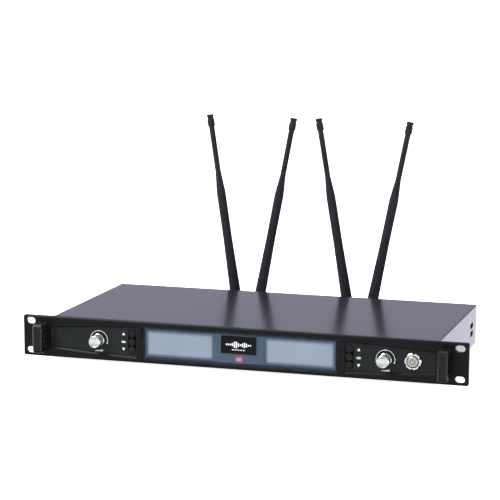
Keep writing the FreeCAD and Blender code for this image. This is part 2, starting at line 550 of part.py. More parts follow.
# ---------------------------------------------------------------- controls
def make_knobs():
    for side, letter in zip(SIDES, "ab"):
        x = f"{side}*knob_x"
        body = new_body("volume_knob_" + letter)
        profile = sketch_on(body, "XZ_Plane")
        rear = f"-({PLATE_FRONT})+knob_gap"
        draw_outline(profile, [
            ("knob_cavity", rear), ("knob_base_radius", rear), ("knob_radius", "-knob_front-knob_edge"),
            ("knob_radius-knob_edge", "-knob_front"), ("0", "-knob_front"), ("0", "-knob_front-knob_web"),
            ("shaft_radius", "-knob_front-knob_web"), ("shaft_radius", f"{rear}+knob_mouth"),
            ("knob_cavity", f"{rear}+knob_mouth")])
        revolve(body, profile, "V_Axis")
        body.Placement = Placement(Vector(), Rotation(Vector(1, 0, 0), 90))
        move_to(body, x, "0", "control_z")
        node(rod("y", x, "knob_front+knob_web", "control_z", "shaft_radius",
                 "shaft_inside-knob_front-knob_web"),
             "pot_shaft_" + letter)
    pots, nuts = [], []
    for side in SIDES:
        x = f"{side}*knob_x"
        case = box(f"{x}-pot_size/2", f"{x}+pot_size/2", "core_thick", "front_board_y",
                   "control_z-pot_size/2", "control_z+pot_size/2")
        bush = rod("y", x, "bush_front", "control_z", "bush_radius", "core_thick-bush_front+overlap")
        bore = rod("y", x, "bush_front-overlap", "control_z", "shaft_radius+shaft_gap",
                   "pot_bore_end-bush_front+overlap")
        pots.append(cut(join([case, bush]), [bore]))
        nut = hexagon("y", x, f"{PLATE_FRONT}-nut_thick", "control_z", "nut_flat", "nut_thick")
        hole = rod("y", x, f"{PLATE_FRONT}-nut_thick-overlap", "control_z", "bush_radius",
                   "nut_thick+2*overlap")
        nuts.append(cut(nut, [hole]))
    node(group(pots), "volume_pots")
    node(group(nuts), "pot_nuts")


def make_keys():
    switches = []
    for side, letter in zip(SIDES, "ab"):
        x = f"{side}*key_x"
        for name, z in KEY_HEIGHTS.items():
            front = f"{PLATE_FRONT}-key_proud"
            tab_front = "core_thick+key_tab_gap"
            cap = rod("y", x, front, z, "key_radius", f"{tab_front}-({front})+key_bond")
            tab = box(f"{x}-key_tab_wide/2", f"{x}+key_tab_wide/2", tab_front,
                      f"{tab_front}+key_tab_thick", f"{z}-key_tab_high/2", f"{z}+key_tab_high/2")
            nose = rod("y", x, tab_front, z, "nose_radius", f"switch_front+nose_reach-({tab_front})")
            crown = doc.addObject("Part::Fillet", "Crown")
            doc.recompute()
            crown.Base = cap
            crown_radius = number("key_crown")
            crown.Edges = [(i, crown_radius, crown_radius)
                           for i, edge in enumerate(cap.Shape.Edges, start=1)
                           if flat_at(edge, "y", front)]
            node(join([crown, tab, nose]), f"key_{name}_{letter}")
            case = box(f"{x}-switch_size/2", f"{x}+switch_size/2", "switch_front", "front_board_y",
                       f"{z}-switch_size/2", f"{z}+switch_size/2")
            bore = rod("y", x, "switch_front-overlap", z, "nose_radius+nose_gap", "switch_bore+overlap")
            switches.append(cut(case, [bore]))
    node(group(switches), "key_switches")
    boards = []
    for side in SIDES:
        ends = sorted((f"{side}*key_board_inner", f"{side}*key_board_outer"), key=number)
        board = box(ends[0], ends[1], "front_board_y", BOARD_REAR, "-key_board_half_high",
                    "key_board_half_high")
        screws = [place for place in BOARD_SCREWS[:8] if place[0] * side > 0]
        boards.append(cut(board, [rod("y", px, "front_board_y-overlap", pz, "clearance_radius", "wall_cut")
                                  for px, pz in screws]))
    node(group(boards), "key_boards")


def make_power_switch():
    barrel = rod("y", "power_x", f"{PLATE_FRONT}-barrel_proud", "control_z", "power_barrel",
                 f"power_case_front-({PLATE_FRONT})+barrel_proud")
    case = box("power_x-power_case_half", "power_x+power_case_half", "power_case_front",
               "power_case_rear", "control_z-power_case_half", "control_z+power_case_half")
    tabs = []
    for step in (-1, 0, 1):
        x = f"power_x+({step})*power_tab_pitch"
        tabs.append(box(f"{x}-power_tab_half_thick", f"{x}+power_tab_half_thick",
                        "power_case_rear-overlap", "power_tab_rear",
                        "control_z-power_tab_half_wide", "control_z+power_tab_half_wide"))
    bore = rod("y", "power_x", "-button_bore_deep", "control_z", "button_bore", "2*button_bore_deep")
    node(cut(join([barrel, case] + tabs), [bore]), "power_switch_body")
    bezel = new_body("power_switch_bezel")
    ring = sketch_on(bezel, "XZ_Plane", f"-({PLATE_FRONT})")
    draw_circle(ring, "power_x", "control_z", "bezel_radius")
    draw_circle(ring, "power_x", "control_z", "power_barrel")
    pad(bezel, ring, "bezel_proud")
    soften(bezel, "Chamfer", "bezel_chamfer", lambda e: flat_at(e, "y", f"{PLATE_FRONT}-bezel_proud")
           and e.Curve.Radius > number("bezel_radius") - 0.1)
    doc.recompute()
    for angle in NOTCH_ANGLES:
        notch = sketch_on(bezel, "XZ_Plane", f"-({PLATE_FRONT})")
        cx = f"power_x+bezel_radius*cos({angle})"
        cz = f"control_z+bezel_radius*sin({angle})"
        draw_circle(notch, cx, cz, "bezel_notch")
        pocket(bezel, notch, "bezel_proud+overlap", reverse=True)
    button = new_body("power_button")
    profile = sketch_on(button, "XZ_Plane")
    front = "-button_front"
    draw_outline(profile, [
        ("0", "-button_rear"), ("button_radius", "-button_rear"),
        ("button_radius", f"{front}-button_edge"), ("button_radius-button_edge", front), ("0", front)])
    revolve(button, profile, "V_Axis")
    button.Placement = Placement(Vector(), Rotation(Vector(1, 0, 0), 90))
    move_to(button, "power_x", "0", "control_z")


# ---------------------------------------------------------------- boards, leads and fasteners
def make_boards():
    board = box("main_left", "main_right", "main_front", "main_rear", MAIN_LOW, MAIN_TOP)
    node(cut(board, [rod("z", x, y, f"{MAIN_LOW}-overlap", "clearance_radius", "wall_cut")
                     for x, y in MAIN_SCREWS]),
         "main_board")
    shields = []
    for side in SIDES:
        centre = f"{side}*(jack_inner_x+jack_outer_x)/2"
        can = box(f"{centre}-shield_half", f"{centre}+shield_half", "shield_front", "shield_rear",
                  MAIN_TOP, f"{MAIN_TOP}+shield_high")
        hollow = box(f"{centre}-shield_half+shield_wall", f"{centre}+shield_half-shield_wall",
                     "shield_front+shield_wall", "shield_rear-shield_wall", f"{MAIN_TOP}-overlap",
                     f"{MAIN_TOP}+shield_high-shield_wall")
        shields.append(cut(can, [hollow]))
    node(group(shields), "rf_shields")
    sink_top = f"{MAIN_TOP}+sink_high"
    foot = box("sink_left", "sink_left+sink_wide", "sink_front", "sink_front+sink_thick", MAIN_TOP, sink_top)
    fins = [box(f"sink_left+{i}*fin_pitch", f"sink_left+{i}*fin_pitch+fin_thick",
                "sink_front+sink_thick", "sink_rear", MAIN_TOP, sink_top) for i in range(FIN_COUNT)]
    node(join([foot] + fins), "heat_sink")
    regulators = []
    for quarter in (1, 3):
        x = f"sink_left+{quarter}*sink_wide/4"
        tab = box(f"{x}-case_half", f"{x}+case_half", "sink_front-tab_thick", "sink_front",
                  f"{MAIN_TOP}+case_low", f"{MAIN_TOP}+tab_top")
        case = box(f"{x}-case_half", f"{x}+case_half", "sink_front-tab_thick-case_thick",
                   "sink_front-tab_thick", f"{MAIN_TOP}+case_low", f"{MAIN_TOP}+case_top")
        legs = [box(f"{x}+({step})*leg_pitch-leg_half", f"{x}+({step})*leg_pitch+leg_half",
                    "sink_front-leg_front", "sink_front-leg_front+2*leg_half", MAIN_TOP,
                    f"{MAIN_TOP}+case_low+leg_bond") for step in (-1, 0, 1)]
        regulators.append(join([tab, case] + legs))
    node(group(regulators), "voltage_regulators")
    ribbons = []
    for x, wide in RIBBONS:
        body = doc.addObject("PartDesign::Body", "Ribbon")
        path = sketch_on(body, "YZ_Plane", x)
        draw_outline(path, [
            (BOARD_REAR, "ribbon_z"), ("ribbon_bend_y", "ribbon_z"),
            ("ribbon_end_y", f"{MAIN_TOP}+ribbon_plug_high"), ("ribbon_end_y", MAIN_TOP),
            ("ribbon_end_y-ribbon_plug", MAIN_TOP),
            ("ribbon_bend_y-ribbon_thick/2", "ribbon_z-ribbon_thick"),
            (BOARD_REAR, "ribbon_z-ribbon_thick")])
        pad(body, path, wide, both_ways=True)
        ribbons.append(body)
    node(group(ribbons), "ribbon_cables")


def screw(axis, x, y, z, outward):
    """A pan-head screw whose head starts at (x, y, z) and points along outward * axis."""
    start = {"x": x, "y": y, "z": z}
    head, shank = dict(start), dict(start)
    if outward < 0:
        head[axis] = f"({start[axis]})-head_high"
    else:
        shank[axis] = f"({start[axis]})-screw_long"
    top = rod(axis, head["x"], head["y"], head["z"], "head_radius", "head_high")
    stem = rod(axis, shank["x"], shank["y"], shank["z"], "screw_radius", "screw_long")
    return join([top, stem])


def make_fasteners():
    inner = [screw("y", x, BOARD_REAR, z, 1) for x, z in BOARD_SCREWS]
    inner += [screw("z", x, y, MAIN_TOP, 1) for x, y in MAIN_SCREWS]
    for x, z in FASCIA_SCREWS:
        head = rod("y", x, WALL_REAR, z, "head_radius", "head_high")
        stem = rod("y", x, f"{WALL_REAR}-fascia_screw_long", z, "screw_radius", "fascia_screw_long")
        inner.append(join([head, stem]))
    node(group(inner), "machine_screws")
    outer = []
    for side in SIDES:
        for y in SIDE_SCREW_Y:
            outer.append(screw("x", f"{side}*chassis_half", y, "side_screw_z", side))
        for dx, dz in XLR_SCREWS:
            outer.append(screw("y", f"{side}*xlr_x+({dx})", "chassis_rear+xlr_flange", dz, 1))
    for place in (-1, 0, 1):
        outer.append(screw("y", f"{place}*lip_screw_x", "chassis_rear+sheet_thick", "lip_screw_z", 1))
    node(group(outer), "panel_screws")
    posts = []
    for x, z in BOARD_SCREWS:
        post = rod("y", x, WALL_REAR, z, "standoff_radius", "standoff_long")
        posts.append(cut(post, [rod("y", x, WALL_REAR, z, "screw_radius", "standoff_long")]))
    for x, y in MAIN_SCREWS:
        post = rod("z", x, y, FLOOR, "standoff_radius", "standoff_long")
        posts.append(cut(post, [rod("z", x, y, FLOOR, "screw_radius", "standoff_long")]))
    node(group(posts), "board_standoffs")
    handle_screws = []
    for side in SIDES:
        for level in SIDES:
            x, z = f"{side}*handle_x", f"{level}*leg_screw_z"
            head = rod("y", x, "0", z, "leg_head_radius", "leg_head_high")
            stem = rod("y", x, "-leg_screw_long", z, "leg_screw_radius", "leg_screw_long")
            handle_screws.append(join([head, stem]))
    node(group(handle_screws), "handle_screws")
    feet = []
    for side in SIDES:
        for y in ("foot_front_y", "foot_rear_y"):
            foot = doc.addObject("Part::Cone", "Foot")
            bind(foot, Radius1="foot_radius-foot_taper", Radius2="foot_radius", Height="foot_high")
            feet.append(move_to(foot, f"{side}*foot_x", y, "chassis_bottom-foot_high"))
    node(group(feet), "rubber_feet")


# ---------------------------------------------------------------- rear connectors
def make_antenna_jacks():
    jacks, insulators, nuts = [], [], []
    for x in JACKS:
        case = box(f"{x}-jack_case_half", f"{x}+jack_case_half", "jack_case_front", REAR_INSIDE,
                   MAIN_TOP, "jack_case_top")
        barrel = rod("y", x, REAR_INSIDE, "0", "barrel_radius", "sheet_thick+barrel_long")
        stud = rod("x", f"{x}-stud_reach", "chassis_rear+stud_back", "0", "stud_radius", "2*stud_reach")
        bore = rod("y", x, "jack_floor", "0", "barrel_bore", "overrun")
        jacks.append(cut(join([case, barrel, stud]), [bore]))
        sleeve = rod("y", x, "jack_floor", "0", "barrel_bore", "insulator_long")
        hole = rod("y", x, "contact_floor", "0", "contact_radius", "insulator_long")
        insulators.append(cut(sleeve, [hole]))
        nut = hexagon("y", x, "chassis_rear", "0", "jack_nut_flat", "rear_nut_thick")
        nuts.append(cut(nut, [rod("y", x, "chassis_rear-overlap", "0", "barrel_radius", "wall_cut")]))
    node(group(jacks), "antenna_jacks")
    node(group(insulators), "jack_insulators")
    node(group(nuts), "jack_nuts")


def make_outputs():
    shells, inserts, pins = [], [], []
    for side in SIDES:
        x = f"{side}*xlr_x"
        flange = box(f"{x}-xlr_half_wide", f"{x}+xlr_half_wide", "chassis_rear", "chassis_rear+xlr_flange",
                     "-xlr_half_high", "xlr_half_high")
        barrel = rod("y", x, "xlr_barrel_front", "0", "xlr_barrel", "chassis_rear-xlr_barrel_front+overlap")
        tools = [rod("y", x, "xlr_barrel_front-overlap", "0", "xlr_bore", "overrun")]
        for dx, dz in XLR_SCREWS:
            tools.append(rod("y", f"{x}+({dx})", "chassis_rear-overlap", dz, "clearance_radius", "wall_cut"))
        shells.append(cut(join([flange, barrel]), tools))
        core = rod("y", x, "xlr_insert_front", "0", "xlr_bore", "xlr_insert_long")
        places = [(f"{x}+({dx})", dz) for dx, dz in XLR_PINS]
        inserts.append(cut(core, [rod("y", px, "xlr_insert_front-overlap", pz, "xlr_pin_radius",
                                      "xlr_insert_long+2*overlap") for px, pz in places]))
        pins += [rod("y", px, "xlr_pin_front", pz, "xlr_pin_radius", "xlr_pin_long") for px, pz in places]
    node(group(shells), "xlr_shells")
    node(group(inserts), "xlr_inserts")
    node(group(pins), "xlr_pins")
    case = box("-line_case_half", "line_case_half", "line_case_front", REAR_INSIDE, MAIN_TOP,
               "line_case_top")
    bush = rod("y", "0", REAR_INSIDE, "0", "line_bush", "line_bush_long")
    bore = rod("y", "0", "line_bore_front", "0", "line_bore", "overrun")
    node(cut(join([case, bush]), [bore]), "line_jack")
    nut = hexagon("y", "0", "chassis_rear", "0", "line_nut_flat", "rear_nut_thick")
    node(cut(nut, [rod("y", "0", "chassis_rear-overlap", "0", "line_bush", "wall_cut")]), "line_jack_nut")
    body = rod("y", "dc_x", "dc_front", "0", "dc_body", "chassis_rear-dc_front+overlap")
    collar = rod("y", "dc_x", "chassis_rear", "0", "dc_collar", "dc_collar_thick")
    clamp = hexagon("y", "dc_x", f"{REAR_INSIDE}-dc_nut_thick", "0", "dc_nut_flat", "dc_nut_thick")
    well = rod("y", "dc_x", "dc_well_front", "0", "dc_bore", "overrun")
    shell = cut(join([body, collar, clamp]), [well])
    node(join([shell, rod("y", "dc_x", "dc_pin_front", "0", "dc_pin_radius", "dc_pin_long")]), "dc_inlet")


# ---------------------------------------------------------------- antennas
def make_antenna(index, x, lean):
    """One antenna: bayonet coupling, plug with its elbow fork, and the whip that folds in it."""
    upright = Rotation(Vector(0, 1, 0), number(lean))
    coupling = new_body(f"antenna_{index}_coupling")
    ring = sketch_on(coupling, "YZ_Plane")
    front = "chassis_rear+coupling_front-elbow_y"
    back = "chassis_rear+coupling_back-elbow_y"
    draw_outline(ring, [
        (front, "coupling_bore"), (f"{back}-coupling_lip_thick", "coupling_bore"),
        (f"{back}-coupling_lip_thick", "coupling_lip"), (back, "coupling_lip"),
        (back, "coupling_radius-coupling_edge"), (f"{back}-coupling_edge", "coupling_radius"),
        (f"{front}+coupling_edge", "coupling_radius"), (front, "coupling_radius-coupling_edge")])
    revolve(coupling, ring, "H_Axis")
    move_to(coupling, x, "elbow_y", "0")

    base = new_body(f"antenna_{index}_base")
    turned = sketch_on(base, "YZ_Plane")
    nose, collar = "chassis_rear+nose_front-elbow_y", "chassis_rear+collar_front-elbow_y"
    draw_outline(turned, [
        (nose, "0"), (nose, "nose_sleeve"), (collar, "nose_sleeve"), (collar, "collar_radius"),
        (f"{collar}+collar_thick", "collar_radius"), (f"{collar}+collar_thick", "neck_radius"),
        (f"{back}+neck_gap", "neck_radius"), (f"{back}+neck_gap", "base_radius"),
        ("-elbow_front", "base_radius"), ("-elbow_front", "0")])
    revolve(base, turned, "H_Axis")
    fork = sketch_on(base, "YZ_Plane")
    draw_circle(fork, "0", "0", "base_radius")
    pad(base, fork, "2*base_radius-fork_trim", both_ways=True)
    slot = sketch_on(base, "XY_Plane")
    draw_rectangle(slot, "-fork_slot_half", "fork_slot_half", "-fork_slot_reach",
                   "fork_slot_reach")
    pocket(base, slot, "4*base_radius", both_ways=True)
    pin = sketch_on(base, "YZ_Plane")
    draw_circle(pin, "0", "0", "pin_radius")
    pad(base, pin, "2*base_radius-pin_trim", both_ways=True)
    base.Placement = Placement(Vector(), upright)
    move_to(base, x, "elbow_y", "0")

    whip = new_body(f"antenna_{index}_whip")
    shape = sketch_on(whip, "XZ_Plane")
    draw_outline(shape, [
        ("0", "whip_start"), ("whip_low_radius-whip_edge", "whip_start"),
        ("whip_low_radius", "whip_start+whip_edge"), ("flare_radius", "flare_end"),
        ("whip_high_radius", "cone_start"), ("rod_radius", "cone_end"), ("rod_radius", "cap_start"),
        ("cap_radius", "cap_start+cap_slope"), ("cap_radius", "neck_start"),
        ("cap_neck_radius", "neck_start+neck_slope"), ("cap_neck_radius", "flange_start"),
        ("cap_radius", "flange_start+flange_edge"), ("cap_radius", "whip_end-tip_edge"),
        ("cap_radius-tip_edge", "whip_end"), ("0", "whip_end")])
    revolve(whip, shape, "V_Axis")
    tongue = sketch_on(whip, "YZ_Plane")
    draw_slot(tongue, "0", "(tongue_top-tongue_radius)/2", "2*tongue_radius",
              "tongue_top+tongue_radius")
    pad(whip, tongue, "2*tongue_half", both_ways=True)
    hole = sketch_on(whip, "YZ_Plane")
    draw_circle(hole, "0", "0", "pin_hole")
    pocket(whip, hole, "4*base_radius", both_ways=True)
    whip.Placement = Placement(Vector(), upright)
    move_to(whip, x, "elbow_y", "0")


# ---------------------------------------------------------------- build, check and write
make_fascia()
make_control_plates()
make_display()
make_tray()
make_cover()
make_handles()
make_knobs()
make_keys()
make_power_switch()
make_boards()
make_fasteners()
make_antenna_jacks()
make_outputs()
for place, (jack_x, lean_name) in enumerate(zip(JACKS, LEANS), start=1):
    make_antenna(place, jack_x, lean_name)
doc.recompute()

faults = [f"{item.Label}: {item.State}" for item in doc.Objects
          if {"Invalid", "Error"} & set(item.State)]
for item in NODES:
    if item.Shape.isNull() or not item.Shape.isValid() or not item.Shape.Solids:
        faults.append(f"{item.Label}: bad shape")
if faults:
    raise SystemExit("\n".join(faults))
os.makedirs("parts", exist_ok=True)
for item in NODES:
    item.Shape.exportStep(f"parts/{item.Label}.step")
print(len(NODES), "nodes")
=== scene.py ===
"""A rack-width wireless microphone receiver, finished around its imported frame.

Metres. +X to the right seen from the front, +Y to the rear, +Z up; the origin is the centre of
the four rack slots.
"""
import json
import math

import bmesh
import bpy
from mathutils import Matrix, Vector


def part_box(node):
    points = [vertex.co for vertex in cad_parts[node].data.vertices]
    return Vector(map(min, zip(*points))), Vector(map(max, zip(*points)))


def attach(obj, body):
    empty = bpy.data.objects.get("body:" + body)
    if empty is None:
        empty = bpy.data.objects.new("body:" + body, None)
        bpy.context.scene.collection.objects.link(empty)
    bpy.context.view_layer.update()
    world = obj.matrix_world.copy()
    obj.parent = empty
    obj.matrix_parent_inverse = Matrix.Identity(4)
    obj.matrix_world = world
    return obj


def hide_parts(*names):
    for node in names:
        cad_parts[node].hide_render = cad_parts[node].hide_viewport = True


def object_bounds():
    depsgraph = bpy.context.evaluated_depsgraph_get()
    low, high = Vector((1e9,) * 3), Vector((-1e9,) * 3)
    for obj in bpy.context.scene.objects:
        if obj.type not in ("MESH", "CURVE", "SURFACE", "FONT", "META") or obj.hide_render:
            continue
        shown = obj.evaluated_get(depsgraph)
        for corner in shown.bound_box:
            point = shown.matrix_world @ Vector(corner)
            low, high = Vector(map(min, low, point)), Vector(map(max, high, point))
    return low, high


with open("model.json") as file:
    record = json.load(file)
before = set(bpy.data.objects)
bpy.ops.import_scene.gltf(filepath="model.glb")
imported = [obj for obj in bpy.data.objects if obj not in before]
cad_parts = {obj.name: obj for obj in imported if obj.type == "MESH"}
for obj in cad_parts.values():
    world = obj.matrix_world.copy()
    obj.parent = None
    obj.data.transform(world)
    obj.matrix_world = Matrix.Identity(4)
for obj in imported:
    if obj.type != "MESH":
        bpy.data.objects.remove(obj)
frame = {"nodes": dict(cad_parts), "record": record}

CAD_LOW, CAD_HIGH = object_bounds()
NODES = frame["nodes"]
MM = 0.001
OUT = Vector((0, -1, 0))        # out of the front panel
BACK = Vector((0, 1, 0))        # out of the rear wall
UP = Vector((0, 0, 1))
LCD_EDGE = 27.5 * MM            # inner edge of each display module's lit area
MASK_EDGE = 27.8 * MM           # inner edge of each opening in the printed border
FADE = 4.8 * MM                 # how far the backlight takes to fade at its rim
GLOW_FADE = 4.6 * MM            # the same for the infrared window
DIAL_RADIUS, DIAL_WIDTH = 9.8 * MM, 0.46 * MM
DIAL_START, DIAL_END = -18, 198
MARK_X = 127.6 * MM             # column of the key legends
SIDE_X = 210.5 * MM             # a screw past this stands on a side wall


# ---------------------------------------------------------------- modelling helpers
def deselect():
    if bpy.context.mode != "OBJECT":
        bpy.ops.object.mode_set(mode="OBJECT")
    bpy.ops.object.select_all(action="DESELECT")


def grab(*pieces):
    """Select these pieces only; the first one is active."""
    deselect()
    for piece in pieces:
        piece.select_set(True)
    bpy.context.view_layer.objects.active = pieces[0]


def named(name):
    piece = bpy.context.object
    piece.name = piece.data.name = name
    return piece


def edit(piece):
    grab(piece)
    bpy.ops.object.mode_set(mode="EDIT")
    bpy.ops.mesh.select_mode(type="VERT")


def pick_faces(test):
    """In edit mode, select the faces whose centre and normal pass the test."""
    mesh = bmesh.from_edit_mesh(bpy.context.object.data)
    mesh.select_mode = {"FACE"}
    for face in mesh.faces:
        face.select_set(bool(test(face.calc_center_median(), face.normal)))
    mesh.select_flush_mode()
    bmesh.update_edit_mesh(bpy.context.object.data)
    bpy.ops.mesh.select_mode(type="FACE")


def pick_edges(test):
    """In edit mode, select the edges whose middle and direction pass the test."""
    bpy.ops.mesh.select_mode(type="EDGE")
    mesh = bmesh.from_edit_mesh(bpy.context.object.data)
    for edge in mesh.edges:
        start, end = (corner.co for corner in edge.verts)
        edge.select_set(bool(test((start + end) / 2, (end - start).normalized())))
    mesh.select_flush_mode()
    bmesh.update_edit_mesh(bpy.context.object.data)


def outward():
    """In edit mode, merge doubles and point every face outwards, then leave edit mode."""
    bpy.ops.mesh.select_all(action="SELECT")
    bpy.ops.mesh.remove_doubles(threshold=0.002 * MM)
    bpy.ops.mesh.normals_make_consistent(inside=False)
    bpy.ops.object.mode_set(mode="OBJECT")


def smooth(piece, degrees=32):
    grab(piece)
    bpy.ops.object.shade_smooth_by_angle(angle=math.radians(degrees))


def apply_place(piece):
    grab(piece)
    bpy.ops.object.transform_apply(location=True, rotation=True, scale=True)


def put(piece, place, axis=None):
    """Move a piece that was made at the origin along +Z to a place, with its +Z along axis."""
    piece.location = place
    if axis is not None:
        piece.rotation_mode = "QUATERNION"
        piece.rotation_quaternion = axis.to_track_quat("Z", "Y")
    apply_place(piece)
    return piece


def copy(piece, name):
    """A copy with a mesh of its own."""
    twin = piece.copy()
    twin.data = piece.data.copy()
    twin.name = twin.data.name = name
    bpy.context.scene.collection.objects.link(twin)
    return twin


def merge(name, pieces):
    grab(*pieces)
    if len(pieces) > 1:
        bpy.ops.object.join()
    return named(name)


def draw_rings(name, profile, sides, fill):
    """Start from a circle at the first (radius, height) pair and extrude it through the others."""
    deselect()
    radius, height = profile[0]
    bpy.ops.mesh.primitive_circle_add(vertices=sides, radius=radius, fill_type=fill,
                                      location=(0, 0, height))
    piece = named(name)
    apply_place(piece)
    edit(piece)
    bpy.ops.mesh.select_all(action="SELECT")
    for next_radius, next_height in profile[1:]:
        rise = (0, 0, next_height - height)
        bpy.ops.mesh.extrude_region_move(TRANSFORM_OT_translate={"value": rise})
        scale = next_radius / radius
        bpy.ops.transform.resize(value=(scale, scale, 1), center_override=(0, 0, next_height))
        radius, height = next_radius, next_height
    outward()
    smooth(piece)
    return piece


def turned(name, profile, sides=64):
    """A solid turned about +Z: a disc drawn out ring by ring through (radius, height) pairs."""
    return draw_rings(name, profile, sides, "NGON")


def hoop(name, profile, sides=64):
    """A closed ring about +Z: an edge loop drawn through (radius, height) pairs and back."""
    return draw_rings(name, profile + profile[:1], sides, "NOTHING")


def flute(piece, sides, low, high, width, depth):
    """Press every other face of a turned piece's side in, between two heights."""
    edit(piece)
    bpy.ops.mesh.select_all(action="DESELECT")

    def every_other(centre, normal):
        if not low < centre.z < high or abs(normal.z) > 0.5:
            return False
        turn = math.atan2(centre.y, centre.x) % math.tau
        return int(turn / math.tau * sides) % 2 == 0

    pick_faces(every_other)
    bpy.ops.mesh.inset(thickness=width, depth=-depth, use_individual=True)
    outward()
    smooth(piece)
    return piece


def slab(name, low, high, rounding=0.0, steps=4):
    """A block between two corners, its edges along Y rounded."""
    deselect()
    low, high = Vector(low), Vector(high)
    bpy.ops.mesh.primitive_cube_add(size=1, location=(low + high) / 2, scale=high - low)
    piece = named(name)
    apply_place(piece)
    if rounding:
        edit(piece)
        pick_edges(lambda middle, along: abs(along.y) > 0.9)
        bpy.ops.mesh.bevel(offset=rounding, segments=steps, affect="EDGES")
        outward()
    return piece


def solid_boxes(node):
    """The (lowest, highest) corners of every separate solid in a CAD node."""
    twin = copy(NODES[node], "scratch")
    edit(twin)
    bpy.ops.mesh.select_all(action="SELECT")
    bpy.ops.mesh.remove_doubles(threshold=0.001 * MM)
    bpy.ops.mesh.separate(type="LOOSE")
    bpy.ops.object.mode_set(mode="OBJECT")
    boxes = []
    for piece in list(bpy.context.selected_objects):
        corners = [vertex.co for vertex in piece.data.vertices]
        low = Vector(min(c[i] for c in corners) for i in range(3))
        high = Vector(max(c[i] for c in corners) for i in range(3))
        boxes.append((low, high))
        bpy.data.objects.remove(piece)
    return boxes


# ---------------------------------------------------------------- shader groups
def new_group(name, inputs, outputs):
    group = bpy.data.node_groups.new(name, "ShaderNodeTree")
    for label, kind, value in inputs:
        socket = group.interface.new_socket(label, in_out="INPUT", socket_type=kind)
        if value is not None:
            socket.default_value = value
    for label, kind in outputs:
        group.interface.new_socket(label, in_out="OUTPUT", socket_type=kind)
    return group, group.nodes.new("NodeGroupInput"), group.nodes.new("NodeGroupOutput")


def add(tree, kind, links=(), **settings):
    """A node with its settings; links are (input, source socket or value) pairs."""
    made = tree.nodes.new(kind)
    for key, value in settings.items():
        setattr(made, key, value)
    for target, source in links:
        if isinstance(source, bpy.types.NodeSocket):
            tree.links.new(source, made.inputs[target])
        else:
            made.inputs[target].default_value = source
    return made


def maths(tree, operation, first, second=0.0, third=0.0):
    made = add(tree, "ShaderNodeMath", [(0, first), (1, second), (2, third)], operation=operation)
    return made.outputs[0]


def remap(tree, value, low, high, to_low=0.0, to_high=1.0, soft=False):
    made = add(tree, "ShaderNodeMapRange",
               [("Value", value), ("From Min", low), ("From Max", high),
                ("To Min", to_low), ("To Max", to_high)],
               interpolation_type="SMOOTHSTEP" if soft else "LINEAR")
    return made.outputs["Result"]


def tint(tree, factor, first, second):
    made = add(tree, "ShaderNodeMix", data_type="RGBA")
    for socket, source in ((made.inputs["Factor"], factor), (made.inputs[6], first),
                           (made.inputs[7], second)):
        if isinstance(source, bpy.types.NodeSocket):
            tree.links.new(source, socket)
        else:
            socket.default_value = source
    return made.outputs[2]


def noise(tree, vector, scale, detail=2.0):
    made = add(tree, "ShaderNodeTexNoise",
               [("Vector", vector), ("Scale", scale), ("Detail", detail)])
    return made.outputs["Fac"]


def build_worn_and_highlit_edges():
    """Mask of the outer edges, broken up by noise, where a finish rubs thin and where a painted
    highlight lightens the edge.
    """
    group, given, result = new_group(
        "worn_edges", [("Vector", "NodeSocketVector", None), ("Radius", "NodeSocketFloat", 0.0004),
                       ("Breakup", "NodeSocketFloat", 400.0)], [("Mask", "NodeSocketFloat")])
    rounded = add(group, "ShaderNodeBevel", [("Radius", given.outputs["Radius"])], samples=4)
    facing = add(group, "ShaderNodeNewGeometry")
    dot = add(group, "ShaderNodeVectorMath",
              [(0, rounded.outputs[0]), (1, facing.outputs["Normal"])], operation="DOT_PRODUCT")
    edge = remap(group, dot.outputs["Value"], 0.985, 0.80)
    broken = noise(group, given.outputs["Vector"], given.outputs["Breakup"], 3.0)
    mask = maths(group, "MULTIPLY", edge, remap(group, broken, 0.35, 0.62))
    group.links.new(mask, result.inputs["Mask"])
    return group


